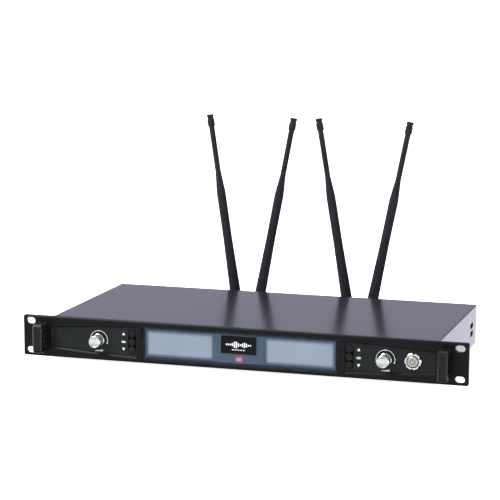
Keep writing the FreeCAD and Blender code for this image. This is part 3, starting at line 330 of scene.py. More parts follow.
def build_coat():
    """A painted, moulded or plated skin: mottled colour, rubbed edges that also carry a painted edge
    highlight, uneven gloss, grain.
    """
    group, given, result = new_group(
        "coat",
        [("Vector", "NodeSocketVector", None), ("Colour", "NodeSocketColor", (0.1, 0.1, 0.1, 1)),
         ("Worn", "NodeSocketColor", (0.3, 0.3, 0.3, 1)), ("Mottle", "NodeSocketFloat", 0.2),
         ("Roughness", "NodeSocketFloat", 0.4), ("Spread", "NodeSocketFloat", 0.1),
         ("Grain Scale", "NodeSocketFloat", 2000.0), ("Edge Radius", "NodeSocketFloat", 0.0004),
         ("Wear", "NodeSocketFloat", 0.5), ("Dust", "NodeSocketFloat", 0.0)],
        [("Color", "NodeSocketColor"), ("Roughness", "NodeSocketFloat"),
         ("Height", "NodeSocketFloat")])
    where = given.outputs["Vector"]
    cloud = noise(group, where, 35.0, 4.0)
    grain = noise(group, where, given.outputs["Grain Scale"], 2.0)
    dark = add(group, "ShaderNodeHueSaturation",
               [("Color", given.outputs["Colour"]),
                ("Value", maths(group, "SUBTRACT", 1.0, given.outputs["Mottle"]))])
    light = add(group, "ShaderNodeHueSaturation",
                [("Color", given.outputs["Colour"]),
                 ("Value", maths(group, "ADD", 1.0, given.outputs["Mottle"]))])
    blend = remap(group, maths(group, "ADD", cloud, grain), 0.7, 1.3)
    body = tint(group, blend, dark.outputs[0], light.outputs[0])
    edges = add(group, "ShaderNodeGroup", node_tree=bpy.data.node_groups["worn_edges"])
    group.links.new(where, edges.inputs["Vector"])
    group.links.new(given.outputs["Edge Radius"], edges.inputs["Radius"])
    # painted highlight: the edge mask tints the edges toward the worn colour, standing both for rubbed
    # paint and for light catching the edges
    rubbed_highlit = maths(group, "MULTIPLY", edges.outputs["Mask"], given.outputs["Wear"])
    colour = tint(group, rubbed_highlit, body, given.outputs["Worn"])
    upward = add(group, "ShaderNodeSeparateXYZ",
                 [(0, add(group, "ShaderNodeNewGeometry").outputs["Normal"])])
    specks = remap(group, noise(group, where, 900.0, 3.0), 0.60, 0.72)
    settled = maths(group, "MULTIPLY", remap(group, upward.outputs["Z"], 0.7, 1.0), specks)
    dusty = maths(group, "MULTIPLY", settled, given.outputs["Dust"])
    colour = tint(group, dusty, colour, (0.32, 0.31, 0.30, 1))
    gloss = maths(group, "MULTIPLY_ADD", maths(group, "SUBTRACT", cloud, 0.5),
                  given.outputs["Spread"], given.outputs["Roughness"])
    gloss = maths(group, "ADD", gloss, maths(group, "MULTIPLY", dusty, 0.3))
    group.links.new(colour, result.inputs["Color"])
    group.links.new(gloss, result.inputs["Roughness"])
    group.links.new(grain, result.inputs["Height"])
    return group


def build_turned_marks():
    """Fine rings left by a lathe round an axis along Y, mirrored to both halves."""
    group, given, result = new_group(
        "turned_marks",
        [("Vector", "NodeSocketVector", None), ("Centre", "NodeSocketVector", None),
         ("Pitch Scale", "NodeSocketFloat", 4000.0), ("Colour", "NodeSocketColor", (0.8, 0.8, 0.8, 1)),
         ("Roughness", "NodeSocketFloat", 0.2), ("Spread", "NodeSocketFloat", 0.1)],
        [("Color", "NodeSocketColor"), ("Roughness", "NodeSocketFloat"),
         ("Height", "NodeSocketFloat")])
    halves = add(group, "ShaderNodeVectorMath", [(0, given.outputs["Vector"])], operation="ABSOLUTE")
    split = add(group, "ShaderNodeSeparateXYZ", [(0, given.outputs["Vector"])])
    mirrored = add(group, "ShaderNodeSeparateXYZ", [(0, halves.outputs[0])])
    joined = add(group, "ShaderNodeCombineXYZ",
                 [("X", mirrored.outputs["X"]), ("Z", split.outputs["Z"])])
    local = add(group, "ShaderNodeVectorMath",
                [(0, joined.outputs[0]), (1, given.outputs["Centre"])], operation="SUBTRACT")
    radius = add(group, "ShaderNodeVectorMath", [(0, local.outputs[0])], operation="LENGTH")
    rings = add(group, "ShaderNodeTexNoise",
                [("W", maths(group, "MULTIPLY", radius.outputs["Value"],
                             given.outputs["Pitch Scale"])), ("Scale", 1.0), ("Detail", 3.0)],
                noise_dimensions="1D")
    smear = noise(group, given.outputs["Vector"], 250.0, 3.0)
    shade = remap(group, maths(group, "ADD", rings.outputs["Fac"], smear), 0.6, 1.4, 0.86, 1.08)
    colour = add(group, "ShaderNodeHueSaturation",
                 [("Color", given.outputs["Colour"]), ("Value", shade)])
    gloss = maths(group, "MULTIPLY_ADD", maths(group, "SUBTRACT", smear, 0.5),
                  given.outputs["Spread"], given.outputs["Roughness"])
    group.links.new(colour.outputs[0], result.inputs["Color"])
    group.links.new(gloss, result.inputs["Roughness"])
    group.links.new(rings.outputs["Fac"], result.inputs["Height"])
    return group


def build_soft_window():
    """1 inside a box on X (both halves) and Z, falling off softly towards its edges."""
    group, given, result = new_group(
        "soft_window",
        [("Vector", "NodeSocketVector", None), ("Inner", "NodeSocketFloat", 0.0),
         ("Outer", "NodeSocketFloat", 0.1), ("Low", "NodeSocketFloat", -0.01),
         ("High", "NodeSocketFloat", 0.01), ("Softness", "NodeSocketFloat", 0.003)],
        [("Mask", "NodeSocketFloat")])
    split = add(group, "ShaderNodeSeparateXYZ", [(0, given.outputs["Vector"])])
    across = maths(group, "ABSOLUTE", split.outputs["X"])
    soft = given.outputs["Softness"]
    parts = []
    for value, edge, sign in ((across, "Inner", 1), (across, "Outer", -1),
                              (split.outputs["Z"], "Low", 1), (split.outputs["Z"], "High", -1)):
        inside = maths(group, "SUBTRACT", value, given.outputs[edge])
        if sign < 0:
            inside = maths(group, "MULTIPLY", inside, -1.0)
        ratio = maths(group, "DIVIDE", inside, soft)
        parts.append(remap(group, ratio, 0.0, 1.0, soft=True))
    mask = parts[0]
    for part in parts[1:]:
        mask = maths(group, "MULTIPLY", mask, part)
    group.links.new(mask, result.inputs["Mask"])
    return group


build_worn_and_highlit_edges()
build_coat()
build_turned_marks()
build_soft_window()


# ---------------------------------------------------------------- finishes
def blank(name):
    """A material with its Principled shader and the object's own coordinates."""
    material = bpy.data.materials.new(name)
    material.use_nodes = True
    tree = material.node_tree
    shader = tree.nodes["Principled BSDF"]
    where = add(tree, "ShaderNodeTexCoord").outputs["Object"]
    return material, tree, shader, where


def place_group(tree, name, where, **values):
    made = add(tree, "ShaderNodeGroup", node_tree=bpy.data.node_groups[name])
    tree.links.new(where, made.inputs["Vector"])
    for label, value in values.items():
        made.inputs[label.replace("_", " ")].default_value = value
    return made


def feed(tree, shader, made, depth, strength=0.5):
    tree.links.new(made.outputs["Color"], shader.inputs["Base Color"])
    tree.links.new(made.outputs["Roughness"], shader.inputs["Roughness"])
    bump = add(tree, "ShaderNodeBump",
               [("Height", made.outputs["Height"]), ("Distance", depth), ("Strength", strength)])
    tree.links.new(bump.outputs["Normal"], shader.inputs["Normal"])


def coat(name, colour, rough, worn_highlit=(0.2, 0.2, 0.2), metal=0.0, gloss=0.5, mottle=0.2, spread=0.12,
         grain=2500.0, depth=0.00002, edge=0.0004, wear_highlight=0.35, dust=0.0, sheen=0.0, clear=0.0):
    """Paint, plastic, rubber or plating: one skin with its grain, rubbed edges that are also lightened
    as a painted edge highlight, and dust.
    """
    material, tree, shader, where = blank(name)
    made = place_group(tree, "coat", where, Colour=(*colour, 1), Worn=(*worn_highlit, 1), Mottle=mottle,
                       Roughness=rough, Spread=spread, Grain_Scale=grain, Edge_Radius=edge,
                       Wear=wear_highlight, Dust=dust)
    feed(tree, shader, made, depth)
    shader.inputs["Metallic"].default_value = metal
    shader.inputs["Specular IOR Level"].default_value = gloss
    shader.inputs["Sheen Weight"].default_value = sheen
    shader.inputs["Coat Weight"].default_value = clear
    return material


def turned_metal(name, colour, centre, rough, depth=0.00001, spread=0.15):
    material, tree, shader, where = blank(name)
    made = place_group(tree, "turned_marks", where, Centre=centre, Colour=(*colour, 1),
                       Roughness=rough, Spread=spread)
    feed(tree, shader, made, depth)
    shader.inputs["Metallic"].default_value = 1.0
    return material


def backlit(name):
    """Liquid crystal, lit evenly in the middle and fading at the rim of its glass."""
    material, tree, shader, where = blank(name)
    low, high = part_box("lcd_modules")
    made = place_group(tree, "soft_window", where, Inner=LCD_EDGE, Outer=high.x - 0.4 * MM,
                       Low=low.z + 0.1 * MM, High=high.z - 0.2 * MM, Softness=FADE)
    drift = remap(tree, noise(tree, where, 22.0, 1.0), 0.3, 0.7)
    lit = tint(tree, drift, (0.455, 0.545, 0.690, 1), (0.515, 0.600, 0.745, 1))
    glow = tint(tree, made.outputs["Mask"], (0.060, 0.094, 0.155, 1), lit)
    pixels = add(tree, "ShaderNodeTexChecker", [("Vector", where), ("Scale", 2400.0)])
    tree.links.new(glow, shader.inputs["Emission Color"])
    shader.inputs["Emission Strength"].default_value = 1.0
    body = tint(tree, pixels.outputs["Fac"], (0.020, 0.030, 0.042, 1), (0.028, 0.038, 0.052, 1))
    tree.links.new(body, shader.inputs["Base Color"])
    tree.links.new(remap(tree, drift, 0, 1, 0.3, 0.4), shader.inputs["Roughness"])
    return material


def lens_finish(name):
    """Smoked clear acrylic: mostly see-through, with faint wipe marks in its gloss."""
    material, tree, shader, where = blank(name)
    wipe = add(tree, "ShaderNodeMapping", [("Vector", where), ("Scale", (60.0, 1.0, 900.0))])
    marks = noise(tree, wipe.outputs[0], 1.0, 3.0)
    tree.links.new(remap(tree, marks, 0.3, 0.7, 0.05, 0.14), shader.inputs["Roughness"])
    colour = tint(tree, marks, (0.020, 0.030, 0.046, 1), (0.026, 0.038, 0.056, 1))
    tree.links.new(colour, shader.inputs["Base Color"])
    tree.links.new(remap(tree, marks, 0.0, 1.0, 0.20, 0.24), shader.inputs["Alpha"])
    return material


def mask_finish(name):
    """Blue-grey printed border behind the lens, with a faint painted glow standing in for the light
    that falls on it.
    """
    material, tree, shader, where = blank(name)
    cloud = noise(tree, where, 30.0, 3.0)
    speck = noise(tree, where, 3000.0, 1.0)
    colour = tint(tree, cloud, (0.036, 0.056, 0.094, 1), (0.052, 0.076, 0.120, 1))
    tree.links.new(colour, shader.inputs["Base Color"])
    # painted light: emission that makes the printed border look lit
    lit = tint(tree, cloud, (0.050, 0.080, 0.135, 1), (0.062, 0.094, 0.152, 1))
    tree.links.new(lit, shader.inputs["Emission Color"])
    shader.inputs["Emission Strength"].default_value = 1.0
    tree.links.new(remap(tree, speck, 0.3, 0.7, 0.4, 0.55), shader.inputs["Roughness"])
    return material


def glow_finish(name, edge, middle, half_wide, low, high):
    """A small translucent tile lit from behind by one diode."""
    material, tree, shader, where = blank(name)
    made = place_group(tree, "soft_window", where, Inner=-0.01, Outer=half_wide, Low=low,
                       High=high, Softness=GLOW_FADE)
    uneven = remap(tree, noise(tree, where, 700.0, 2.0), 0.3, 0.7, 0.75, 1.0)
    factor = maths(tree, "MULTIPLY", made.outputs["Mask"], uneven)
    glow = tint(tree, factor, (*edge, 1), (*middle, 1))
    tree.links.new(glow, shader.inputs["Emission Color"])
    shader.inputs["Emission Strength"].default_value = 1.0
    body = tint(tree, factor, (0.05, 0.02, 0.03, 1), (0.10, 0.03, 0.04, 1))
    tree.links.new(body, shader.inputs["Base Color"])
    tree.links.new(remap(tree, factor, 0, 1, 0.35, 0.5), shader.inputs["Roughness"])
    return material


def board_finish(name):
    """Green solder mask over copper tracks, with tinned pads."""
    material, tree, shader, where = blank(name)
    tracks = add(tree, "ShaderNodeTexBrick",
                 [("Vector", where), ("Scale", 260.0), ("Color1", (0.010, 0.11, 0.045, 1)),
                  ("Color2", (0.012, 0.13, 0.055, 1)), ("Mortar", (0.03, 0.21, 0.09, 1)),
                  ("Mortar Size", 0.06)])
    pads = add(tree, "ShaderNodeTexVoronoi", [("Vector", where), ("Scale", 330.0)])
    tinned = remap(tree, pads.outputs["Distance"], 0.16, 0.12)
    tree.links.new(tint(tree, tinned, tracks.outputs["Color"], (0.62, 0.60, 0.55, 1)),
                   shader.inputs["Base Color"])
    tree.links.new(tinned, shader.inputs["Metallic"])
    tree.links.new(remap(tree, tracks.outputs["Fac"], 0, 1, 0.35, 0.25), shader.inputs["Roughness"])
    bump = add(tree, "ShaderNodeBump", [("Height", tinned), ("Distance", 0.00004)])
    tree.links.new(bump.outputs["Normal"], shader.inputs["Normal"])
    return material


def ribbon_finish(name):
    """Flat cable: parallel insulated wires side by side."""
    material, tree, shader, where = blank(name)
    wires = add(tree, "ShaderNodeTexWave", [("Vector", where), ("Scale", 130.0)],
                wave_type="BANDS", bands_direction="X", wave_profile="SIN")
    colour = tint(tree, wires.outputs["Fac"], (0.22, 0.225, 0.235, 1), (0.45, 0.46, 0.48, 1))
    tree.links.new(colour, shader.inputs["Base Color"])
    tree.links.new(remap(tree, wires.outputs["Fac"], 0, 1, 0.5, 0.4), shader.inputs["Roughness"])
    bump = add(tree, "ShaderNodeBump", [("Height", wires.outputs["Fac"]), ("Distance", 0.0003)])
    tree.links.new(bump.outputs["Normal"], shader.inputs["Normal"])
    return material


KNOB_CENTRE = (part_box("volume_knob_b")[0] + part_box("volume_knob_b")[1]) / 2
POWER_CENTRE = (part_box("power_button")[0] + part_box("power_button")[1]) / 2
KNOB_AXIS = (KNOB_CENTRE.x, 0, KNOB_CENTRE.z)
POWER_AXIS = (POWER_CENTRE.x, 0, POWER_CENTRE.z)
# lighter edge colour: bare metal on rubbed edges, and a painted highlight along those edges
EDGE_WEAR_HIGHLIGHT = (0.16, 0.165, 0.17)

# the edge colours given below also paint highlights along each part's edges
FINISHES = {
    "panel_black": coat("panel_black", (0.0052, 0.0054, 0.0066), 0.32, worn_highlit=EDGE_WEAR_HIGHLIGHT, gloss=0.14,
                        edge=0.0006, wear_highlight=0.30, dust=0.06, grain=3200.0),
    "cover_black": coat("cover_black", (0.018, 0.018, 0.022), 0.21, worn_highlit=(0.10, 0.10, 0.11),
                        gloss=0.5, spread=0.05, depth=0.000006, edge=0.0005, wear_highlight=0.25, dust=0.05),
    "tray_black": coat("tray_black", (0.020, 0.020, 0.023), 0.34, worn_highlit=EDGE_WEAR_HIGHLIGHT, dust=0.10),
    "handle_black": coat("handle_black", (0.0075, 0.0082, 0.0086), 0.28, worn_highlit=(0.22, 0.23, 0.23),
                         gloss=0.22, edge=0.0008, wear_highlight=0.6, dust=0.05),
    "zinc_steel": coat("zinc_steel", (0.62, 0.62, 0.60), 0.30, worn_highlit=(0.8, 0.8, 0.78), metal=1.0),
    "overlay_charcoal": coat("overlay_charcoal", (0.0128, 0.0154, 0.0158), 0.46, gloss=0.15,
                             worn_highlit=(0.10, 0.11, 0.11), grain=4500.0, depth=0.00003, wear_highlight=0.2),
    "badge_black": coat("badge_black", (0.0040, 0.0052, 0.0058), 0.26, worn_highlit=(0.30, 0.32, 0.34),
                        gloss=0.10, edge=0.0003, wear_highlight=0.7, grain=3500.0, depth=0.00001),
    "switch_plastic": coat("switch_plastic", (0.030, 0.030, 0.032), 0.45, worn_highlit=(0.10, 0.10, 0.10)),
    "nickel": coat("nickel", (0.70, 0.69, 0.66), 0.20, worn_highlit=(0.45, 0.43, 0.38), metal=1.0,
                   mottle=0.08),
    "bezel_bright": turned_metal("bezel_bright", (0.86, 0.86, 0.84), POWER_AXIS, 0.17),
    "tinplate": coat("tinplate", (0.66, 0.66, 0.67), 0.28, metal=1.0, mottle=0.12),
    "bare_aluminium": coat("bare_aluminium", (0.74, 0.75, 0.77), 0.36, metal=1.0, mottle=0.10),
    "brass_plated": coat("brass_plated", (0.72, 0.66, 0.48), 0.24, metal=1.0, mottle=0.10),
    "white_insulator": coat("white_insulator", (0.78, 0.78, 0.74), 0.42, worn_highlit=(0.6, 0.6, 0.56),
                            mottle=0.05),
    "xlr_metal": coat("xlr_metal", (0.030, 0.030, 0.033), 0.30, worn_highlit=(0.38, 0.37, 0.35),
                      metal=0.6, wear_highlight=0.6, edge=0.0005),
    "black_plastic": coat("black_plastic", (0.018, 0.018, 0.019), 0.42, worn_highlit=(0.08, 0.08, 0.08)),
    "contact_gold": coat("contact_gold", (0.83, 0.66, 0.33), 0.18, metal=1.0, mottle=0.08),
    "screw_black": coat("screw_black", (0.022, 0.022, 0.024), 0.28, worn_highlit=(0.35, 0.34, 0.33),
                        metal=0.5, wear_highlight=0.7, edge=0.0003),
    "foot_rubber": coat("foot_rubber", (0.016, 0.016, 0.016), 0.70, grain=5000.0, depth=0.00006),
    "knob_silver": turned_metal("knob_silver", (0.88, 0.88, 0.88), KNOB_AXIS, 0.24),
    "button_champagne": turned_metal("button_champagne", (0.62, 0.60, 0.56), POWER_AXIS, 0.34),
    "key_rubber": coat("key_rubber", (0.0070, 0.0075, 0.0080), 0.42, worn_highlit=(0.05, 0.05, 0.05),
                       gloss=0.22, grain=5000.0, depth=0.00003),
    "coupling_nickel": coat("coupling_nickel", (0.66, 0.65, 0.61), 0.22, worn_highlit=(0.42, 0.38, 0.30),
                            metal=1.0, mottle=0.08, edge=0.0003),
    "antenna_base_black": coat("antenna_base_black", (0.017, 0.018, 0.020), 0.55, gloss=0.0,
                               worn_highlit=(0.07, 0.07, 0.07), dust=0.08),
    "antenna_rubber": coat("antenna_rubber", (0.025, 0.028, 0.032), 0.66, gloss=0.0,
                           worn_highlit=(0.06, 0.06, 0.065), grain=2600.0, depth=0.00005),
    "circuit_board": board_finish("circuit_board"),
    "ribbon_grey": ribbon_finish("ribbon_grey"),
    "lcd_backlit": backlit("lcd_backlit"),
    "lens_tinted": lens_finish("lens_tinted"),
    "ir_clear": glow_finish("ir_clear", (0.10, 0.03, 0.05), (0.85, 0.30, 0.38),
                            2.5 * MM, -13.5 * MM, -8.5 * MM),
}
WHITE_PRINT = coat("white_print", (0.86, 0.88, 0.88), 0.55, worn_highlit=(0.35, 0.36, 0.36), mottle=0.05,
                   grain=6000.0)
DARK_INLAY = coat("dark_inlay", (0.05, 0.047, 0.042), 0.5, worn_highlit=(0.12, 0.12, 0.12))
DISPLAY_MASK = mask_finish("display_mask")

for part in frame["record"]["subparts"]:
    for place in NODES[part["node"]].material_slots:
        place.material = FINISHES[part["material_slot"]]


def finish_piece(piece, material, body):
    """Give a new piece its material and its body."""
    piece.data.materials.clear()
    piece.data.materials.append(material)
    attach(piece, body)
    return piece


# ---------------------------------------------------------------- front: controls
def make_volume_knob():
    """Turned cap with a plain skirt, a fluted side, a chamfer and a shallow dished face."""
    low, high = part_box("volume_knob_b")
    skirt = (high.x - low.x) / 2
    long = high.y - low.y
    grip = 6.4 * MM
    sides = 112
    knob = turned("volume_knob", [
        (skirt - 0.3 * MM, 0), (skirt, 0.3 * MM), (skirt, 2.0 * MM), (skirt - 0.25 * MM, 2.3 * MM),
        (grip - 0.15 * MM, 2.5 * MM), (grip - 0.15 * MM, 2.9 * MM), (grip, 3.1 * MM),
        (grip - 0.05 * MM, long - 1.9 * MM), (grip - 0.25 * MM, long - 1.7 * MM),
        (grip - 0.25 * MM, long - 1.3 * MM), (grip - 0.05 * MM, long - 1.1 * MM),
        (grip - 0.1 * MM, long - 0.35 * MM), (grip - 0.45 * MM, long),
        (grip - 0.9 * MM, long), (grip - 1.1 * MM, long - 0.12 * MM), (0.4 * MM, long - 0.22 * MM),
    ], sides)
    flute(knob, sides, 3.2 * MM, long - 2.0 * MM, 0.05 * MM, 0.22 * MM)
    return knob


def place_knobs():
    pattern = make_volume_knob()
    for name in ("a", "b"):
        low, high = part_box(f"volume_knob_{name}")
        knob = copy(pattern, f"volume_knob_{name}_fluted")
        put(knob, Vector(((low.x + high.x) / 2, high.y, (low.z + high.z) / 2)), OUT)
        finish_piece(knob, FINISHES["knob_silver"], f"knob_{name}")
        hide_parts(f"volume_knob_{name}")
    bpy.data.objects.remove(pattern)


def make_power_mark():
    """Ring open at the top with a bar in the gap, sunk dark into the button's face."""
    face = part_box("power_button")[0].y
    inner, outer, sides = 2.3 * MM, 3.0 * MM, 72
    deselect()
    bpy.ops.mesh.primitive_circle_add(vertices=sides, radius=inner, fill_type="NOTHING")
    ring = named("power_mark")
    edit(ring)
    bpy.ops.mesh.select_all(action="SELECT")
    bpy.ops.mesh.extrude_region_move(TRANSFORM_OT_translate={"value": (0, 0, 0)})
    bpy.ops.transform.resize(value=(outer / inner, outer / inner, 1), center_override=(0, 0, 0))
    gap = math.radians(33)
    pick_faces(lambda centre, normal: abs(math.atan2(centre.x, centre.y)) < gap)
    bpy.ops.mesh.delete(type="FACE")
    bpy.ops.mesh.select_all(action="SELECT")
    bpy.ops.mesh.extrude_region_move(TRANSFORM_OT_translate={"value": (0, 0, 0.05 * MM)})
    outward()
    bar = slab("power_bar", (-0.35 * MM, 0.5 * MM, 0), (0.35 * MM, 3.2 * MM, 0.05 * MM))
    mark = merge("power_mark", [ring, bar])
    mark.rotation_euler = (math.radians(90), 0, 0)
    mark.location = (POWER_CENTRE.x, face + 0.01 * MM, POWER_CENTRE.z)
    apply_place(mark)
    finish_piece(mark, DARK_INLAY, "power_button")


# ---------------------------------------------------------------- front: printed marks
PLATE_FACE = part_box("control_plate_a")[0].y
PRINT = 0.05 * MM


def print_arc(name, radius, width, start, end, face):
    """A printed arc round the origin in the X-Z plane, angles from +X, and a dot at each end."""
    sides = 180
    deselect()
    bpy.ops.mesh.primitive_circle_add(vertices=sides, radius=radius - width / 2,
                                      fill_type="NOTHING", rotation=(math.radians(90), 0, 0))
    arc = named(name)
    apply_place(arc)
    edit(arc)
    bpy.ops.mesh.select_all(action="SELECT")
    bpy.ops.mesh.extrude_region_move(TRANSFORM_OT_translate={"value": (0, 0, 0)})
    ratio = (radius + width / 2) / (radius - width / 2)
    bpy.ops.transform.resize(value=(ratio, 1, ratio), center_override=(0, 0, 0))

    def outside(centre, normal):
        turn = math.degrees(math.atan2(centre.z, centre.x))
        return not start < (turn + 90) % 360 - 90 < end

    pick_faces(outside)
    bpy.ops.mesh.delete(type="FACE")
    bpy.ops.mesh.select_all(action="SELECT")
    bpy.ops.mesh.extrude_region_move(TRANSFORM_OT_translate={"value": (0, -PRINT, 0)})
    outward()
    pieces = [arc]
    for degrees in (start, 90, end):
        turn = math.radians(degrees)
        dot = turned("dot", [(0.72 * MM, 0), (0.72 * MM, PRINT * 0.7), (0.6 * MM, PRINT)], 24)
        put(dot, Vector((math.cos(turn), 0, math.sin(turn))) * radius, OUT)
        pieces.append(dot)
    arc = merge(name, pieces)
    arc.location.y = face
    return arc


def print_wedge(name, wide, high, bars):
    """Rising bars, the generic mark for level, centred on the origin in the X-Z plane."""
    step = wide / (bars - 0.4)
    pieces = []
    for index in range(bars):
        left = -wide / 2 + index * step
        top = high * (0.25 + 0.75 * index / (bars - 1))
        pieces.append(slab("bar", (left, -PRINT, -high / 2),
                           (left + 0.6 * step, 0, top - high / 2), 0.1 * MM, 2))
    return merge(name, pieces)


def print_lines(name, wide, high, lines):
    """Stacked lines, the generic mark for a settings list."""
    step = high / (lines - 0.4)
    pieces = []
    for index in range(lines):
        low = -high / 2 + index * step
        pieces.append(slab("line", (-wide / 2, -PRINT, low), (wide / 2, 0, low + 0.6 * step),
                           0.12 * MM, 2))
    return merge(name, pieces)


def print_triangle(name, wide, high, point_up):
    deselect()
    bpy.ops.mesh.primitive_circle_add(vertices=3, radius=wide / math.sqrt(3), fill_type="NGON",
                                      rotation=(math.radians(90), 0, 0))
    piece = named(name)
    apply_place(piece)
    edit(piece)
    bpy.ops.mesh.select_all(action="SELECT")
    corners = [vertex.co.copy() for vertex in bmesh.from_edit_mesh(piece.data).verts]
    tall = max(c.z for c in corners) - min(c.z for c in corners)
    flip = 1 if (max(corners, key=lambda c: abs(c.z)).z > 0) == point_up else -1
    bpy.ops.transform.resize(value=(1, 1, flip * high / tall))
    bpy.ops.mesh.extrude_region_move(TRANSFORM_OT_translate={"value": (0, -PRINT, 0)})
    outward()
    return piece


def print_plate_marks():
    """The marks printed on each control plate, in the same places on both."""
    for side, name in ((-1, "a"), (1, "b")):
        arc = print_arc(f"dial_arc_{name}", DIAL_RADIUS, DIAL_WIDTH, DIAL_START, DIAL_END, 0)
        arc.location = (side * KNOB_CENTRE.x, PLATE_FACE, KNOB_CENTRE.z)
        wedge = print_wedge("level", 8.6 * MM, 2.0 * MM, 7)
        wedge.location = (side * KNOB_CENTRE.x, PLATE_FACE, -11.9 * MM)
        mark_x = side * MARK_X
        lines = print_lines("list", 4.4 * MM, 2.0 * MM, 3)
        lines.location = (mark_x, PLATE_FACE, -1.0 * MM)
        rise = print_triangle("up", 3.3 * MM, 3.0 * MM, True)
        rise.location = (mark_x, PLATE_FACE, 7.3 * MM)
        fall = print_triangle("down", 3.3 * MM, 3.0 * MM, False)
        fall.location = (mark_x, PLATE_FACE, -9.4 * MM)
        for piece in (arc, wedge, lines, rise, fall):
            apply_place(piece)
        legend = merge(f"plate_marks_{name}", [arc, wedge, lines, rise, fall])
        finish_piece(legend, WHITE_PRINT, "chassis")


def print_badge():
    """A generic sound wave of rounded bars with a row of dashes under it."""
    low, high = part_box("badge_plate")
    face, height = low.y, high.z - low.z
    centre_z = low.z + 0.515 * height
    wide, tall, count = 28.0 * MM, 7.6 * MM, 13
    step = wide / count
    pieces = []
    for index in range(count):
        along = (index + 0.5) / count
        swell = math.sin(math.pi * along) * (0.62 + 0.38 * math.cos(5.2 * math.pi * along))
        half = tall / 2 * max(abs(swell), 0.22)
        middle = -wide / 2 + (index + 0.5) * step
        pieces.append(slab("bar", (middle - 0.30 * step, face - PRINT, centre_z - half),
                           (middle + 0.30 * step, face + PRINT, centre_z + half), 0.25 * MM, 3))
    dash_z = low.z + 0.23 * height
    for index in range(-2, 3):
        middle = index * 3.0 * MM
        pieces.append(slab("dash", (middle - 1.0 * MM, face - PRINT, dash_z - 0.45 * MM),
                           (middle + 1.0 * MM, face + PRINT, dash_z + 0.45 * MM), 0.3 * MM, 3))
    emblem = merge("badge_sound_wave", pieces)
    finish_piece(emblem, WHITE_PRINT, "chassis")


# ---------------------------------------------------------------- front: behind the lens
def make_display_mask():
    """Thin printed border between the lens and the two display modules."""
    lens_low, lens_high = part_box("display_lens")
    lcd_low, lcd_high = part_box("lcd_modules")
    front = lens_high.y + 0.01 * MM
    centre = (lens_low + lens_high) / 2
    deselect()
    bpy.ops.mesh.primitive_plane_add(size=1, location=(centre.x, front, centre.z),
                                     rotation=(math.radians(90), 0, 0))
    mask = named("display_mask")
    mask.scale = (lens_high.x - lens_low.x, lens_high.z - lens_low.z, 1)
    apply_place(mask)
    edit(mask)
    inner, outer = MASK_EDGE, lcd_high.x - 0.2 * MM
    bottom, top = lcd_low.z + 0.2 * MM, lcd_high.z - 0.2 * MM
    for x in (-outer, -inner, inner, outer):
        bpy.ops.mesh.select_all(action="SELECT")
        bpy.ops.mesh.bisect(plane_co=(x, 0, 0), plane_no=(1, 0, 0))
    for z in (bottom, top):
        bpy.ops.mesh.select_all(action="SELECT")
        bpy.ops.mesh.bisect(plane_co=(0, 0, z), plane_no=(0, 0, 1))
    pick_faces(lambda c, n: inner < abs(c.x) < outer and bottom < c.z < top)
    bpy.ops.mesh.delete(type="FACE")
    bpy.ops.mesh.select_all(action="SELECT")
    bpy.ops.mesh.extrude_region_move(TRANSFORM_OT_translate={"value": (0, PRINT, 0)})
    outward()
    finish_piece(mask, DISPLAY_MASK, "chassis")


def make_remote_window():
    """Small red tile in front of the infrared emitter, with three pale strokes on it."""
    lens_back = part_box("display_lens")[1].y
    low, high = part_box("ir_emitter")
    middle = (low.z + high.z) / 2 - 0.2 * MM
    half_wide, half_high = 6.6 * MM, 5.4 * MM
    tile = slab("remote_window", (-half_wide, lens_back + 0.002 * MM, middle - half_high),
                (half_wide, lens_back + 0.009 * MM, middle + half_high), 0.8 * MM)
    glow = glow_finish("remote_glow", (0.062, 0.092, 0.150), (0.60, 0.22, 0.34), half_wide,
                       middle - half_high, middle + half_high)
    finish_piece(tile, glow, "chassis")
    strokes = [slab("stroke", (x - 0.4 * MM, lens_back - 0.004 * MM, middle - 1.7 * MM),
                    (x + 0.4 * MM, lens_back + 0.004 * MM, middle + 1.7 * MM), 0.3 * MM, 3)
               for x in (-1.5 * MM, 0.0, 1.5 * MM)]
    mark = merge("remote_mark", strokes)
    pale = glow_finish("remote_pale", (0.52, 0.36, 0.44), (0.78, 0.62, 0.70), half_wide,
                       middle - half_high, middle + half_high)
    finish_piece(mark, pale, "chassis")


# ---------------------------------------------------------------- screws, feet, couplings
def cross_screw(name, head, high):
    """Pan head along +Z with its underside at the origin and a cross-shaped drive recess."""
    screw = turned(name, [(head, 0), (head, high * 0.45), (head * 0.93, high * 0.72),
                          (head * 0.72, high * 0.93), (head * 0.4, high)], 40)
    arm, reach, deep = head * 0.13, head * 0.56, high * 0.6
    for index, (wide, long) in enumerate(((arm, reach), (reach, arm))):
        cutter = slab(f"cutter_{index}", (-wide, -long, high - deep), (wide, long, high + deep))
        grab(screw)
        recess = screw.modifiers.new("recess", "BOOLEAN")
        recess.operation = "DIFFERENCE"
        recess.solver = "EXACT"
        recess.object = cutter
        bpy.ops.object.modifier_apply(modifier="recess")
        bpy.data.objects.remove(cutter)
    smooth(screw, 40)
    return screw


def place_screws(node, piece_name, head, high, slot, pick_axis):
    """Detailed heads in place of a node's plain ones, joined into one piece."""
    pattern = cross_screw("pattern", head, high)
    heads = []
    for low, top in solid_boxes(node):
        axis = pick_axis(low, top)
        centre = (low + top) / 2
        along = max(axis.dot(low), axis.dot(top))
        seat = centre + axis * (along - high - axis.dot(centre))
        screw = copy(pattern, "head")
        heads.append(put(screw, seat, axis))
    bpy.data.objects.remove(pattern)
    group = merge(piece_name, heads)
    finish_piece(group, FINISHES[slot], "chassis")
    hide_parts(node)


def side_or_rear(low, top):
    """Which way a chassis screw faces, from the place of its head."""
    if top.x > SIDE_X:
        return Vector((1, 0, 0))
    if low.x < -SIDE_X:
        return Vector((-1, 0, 0))
    return BACK


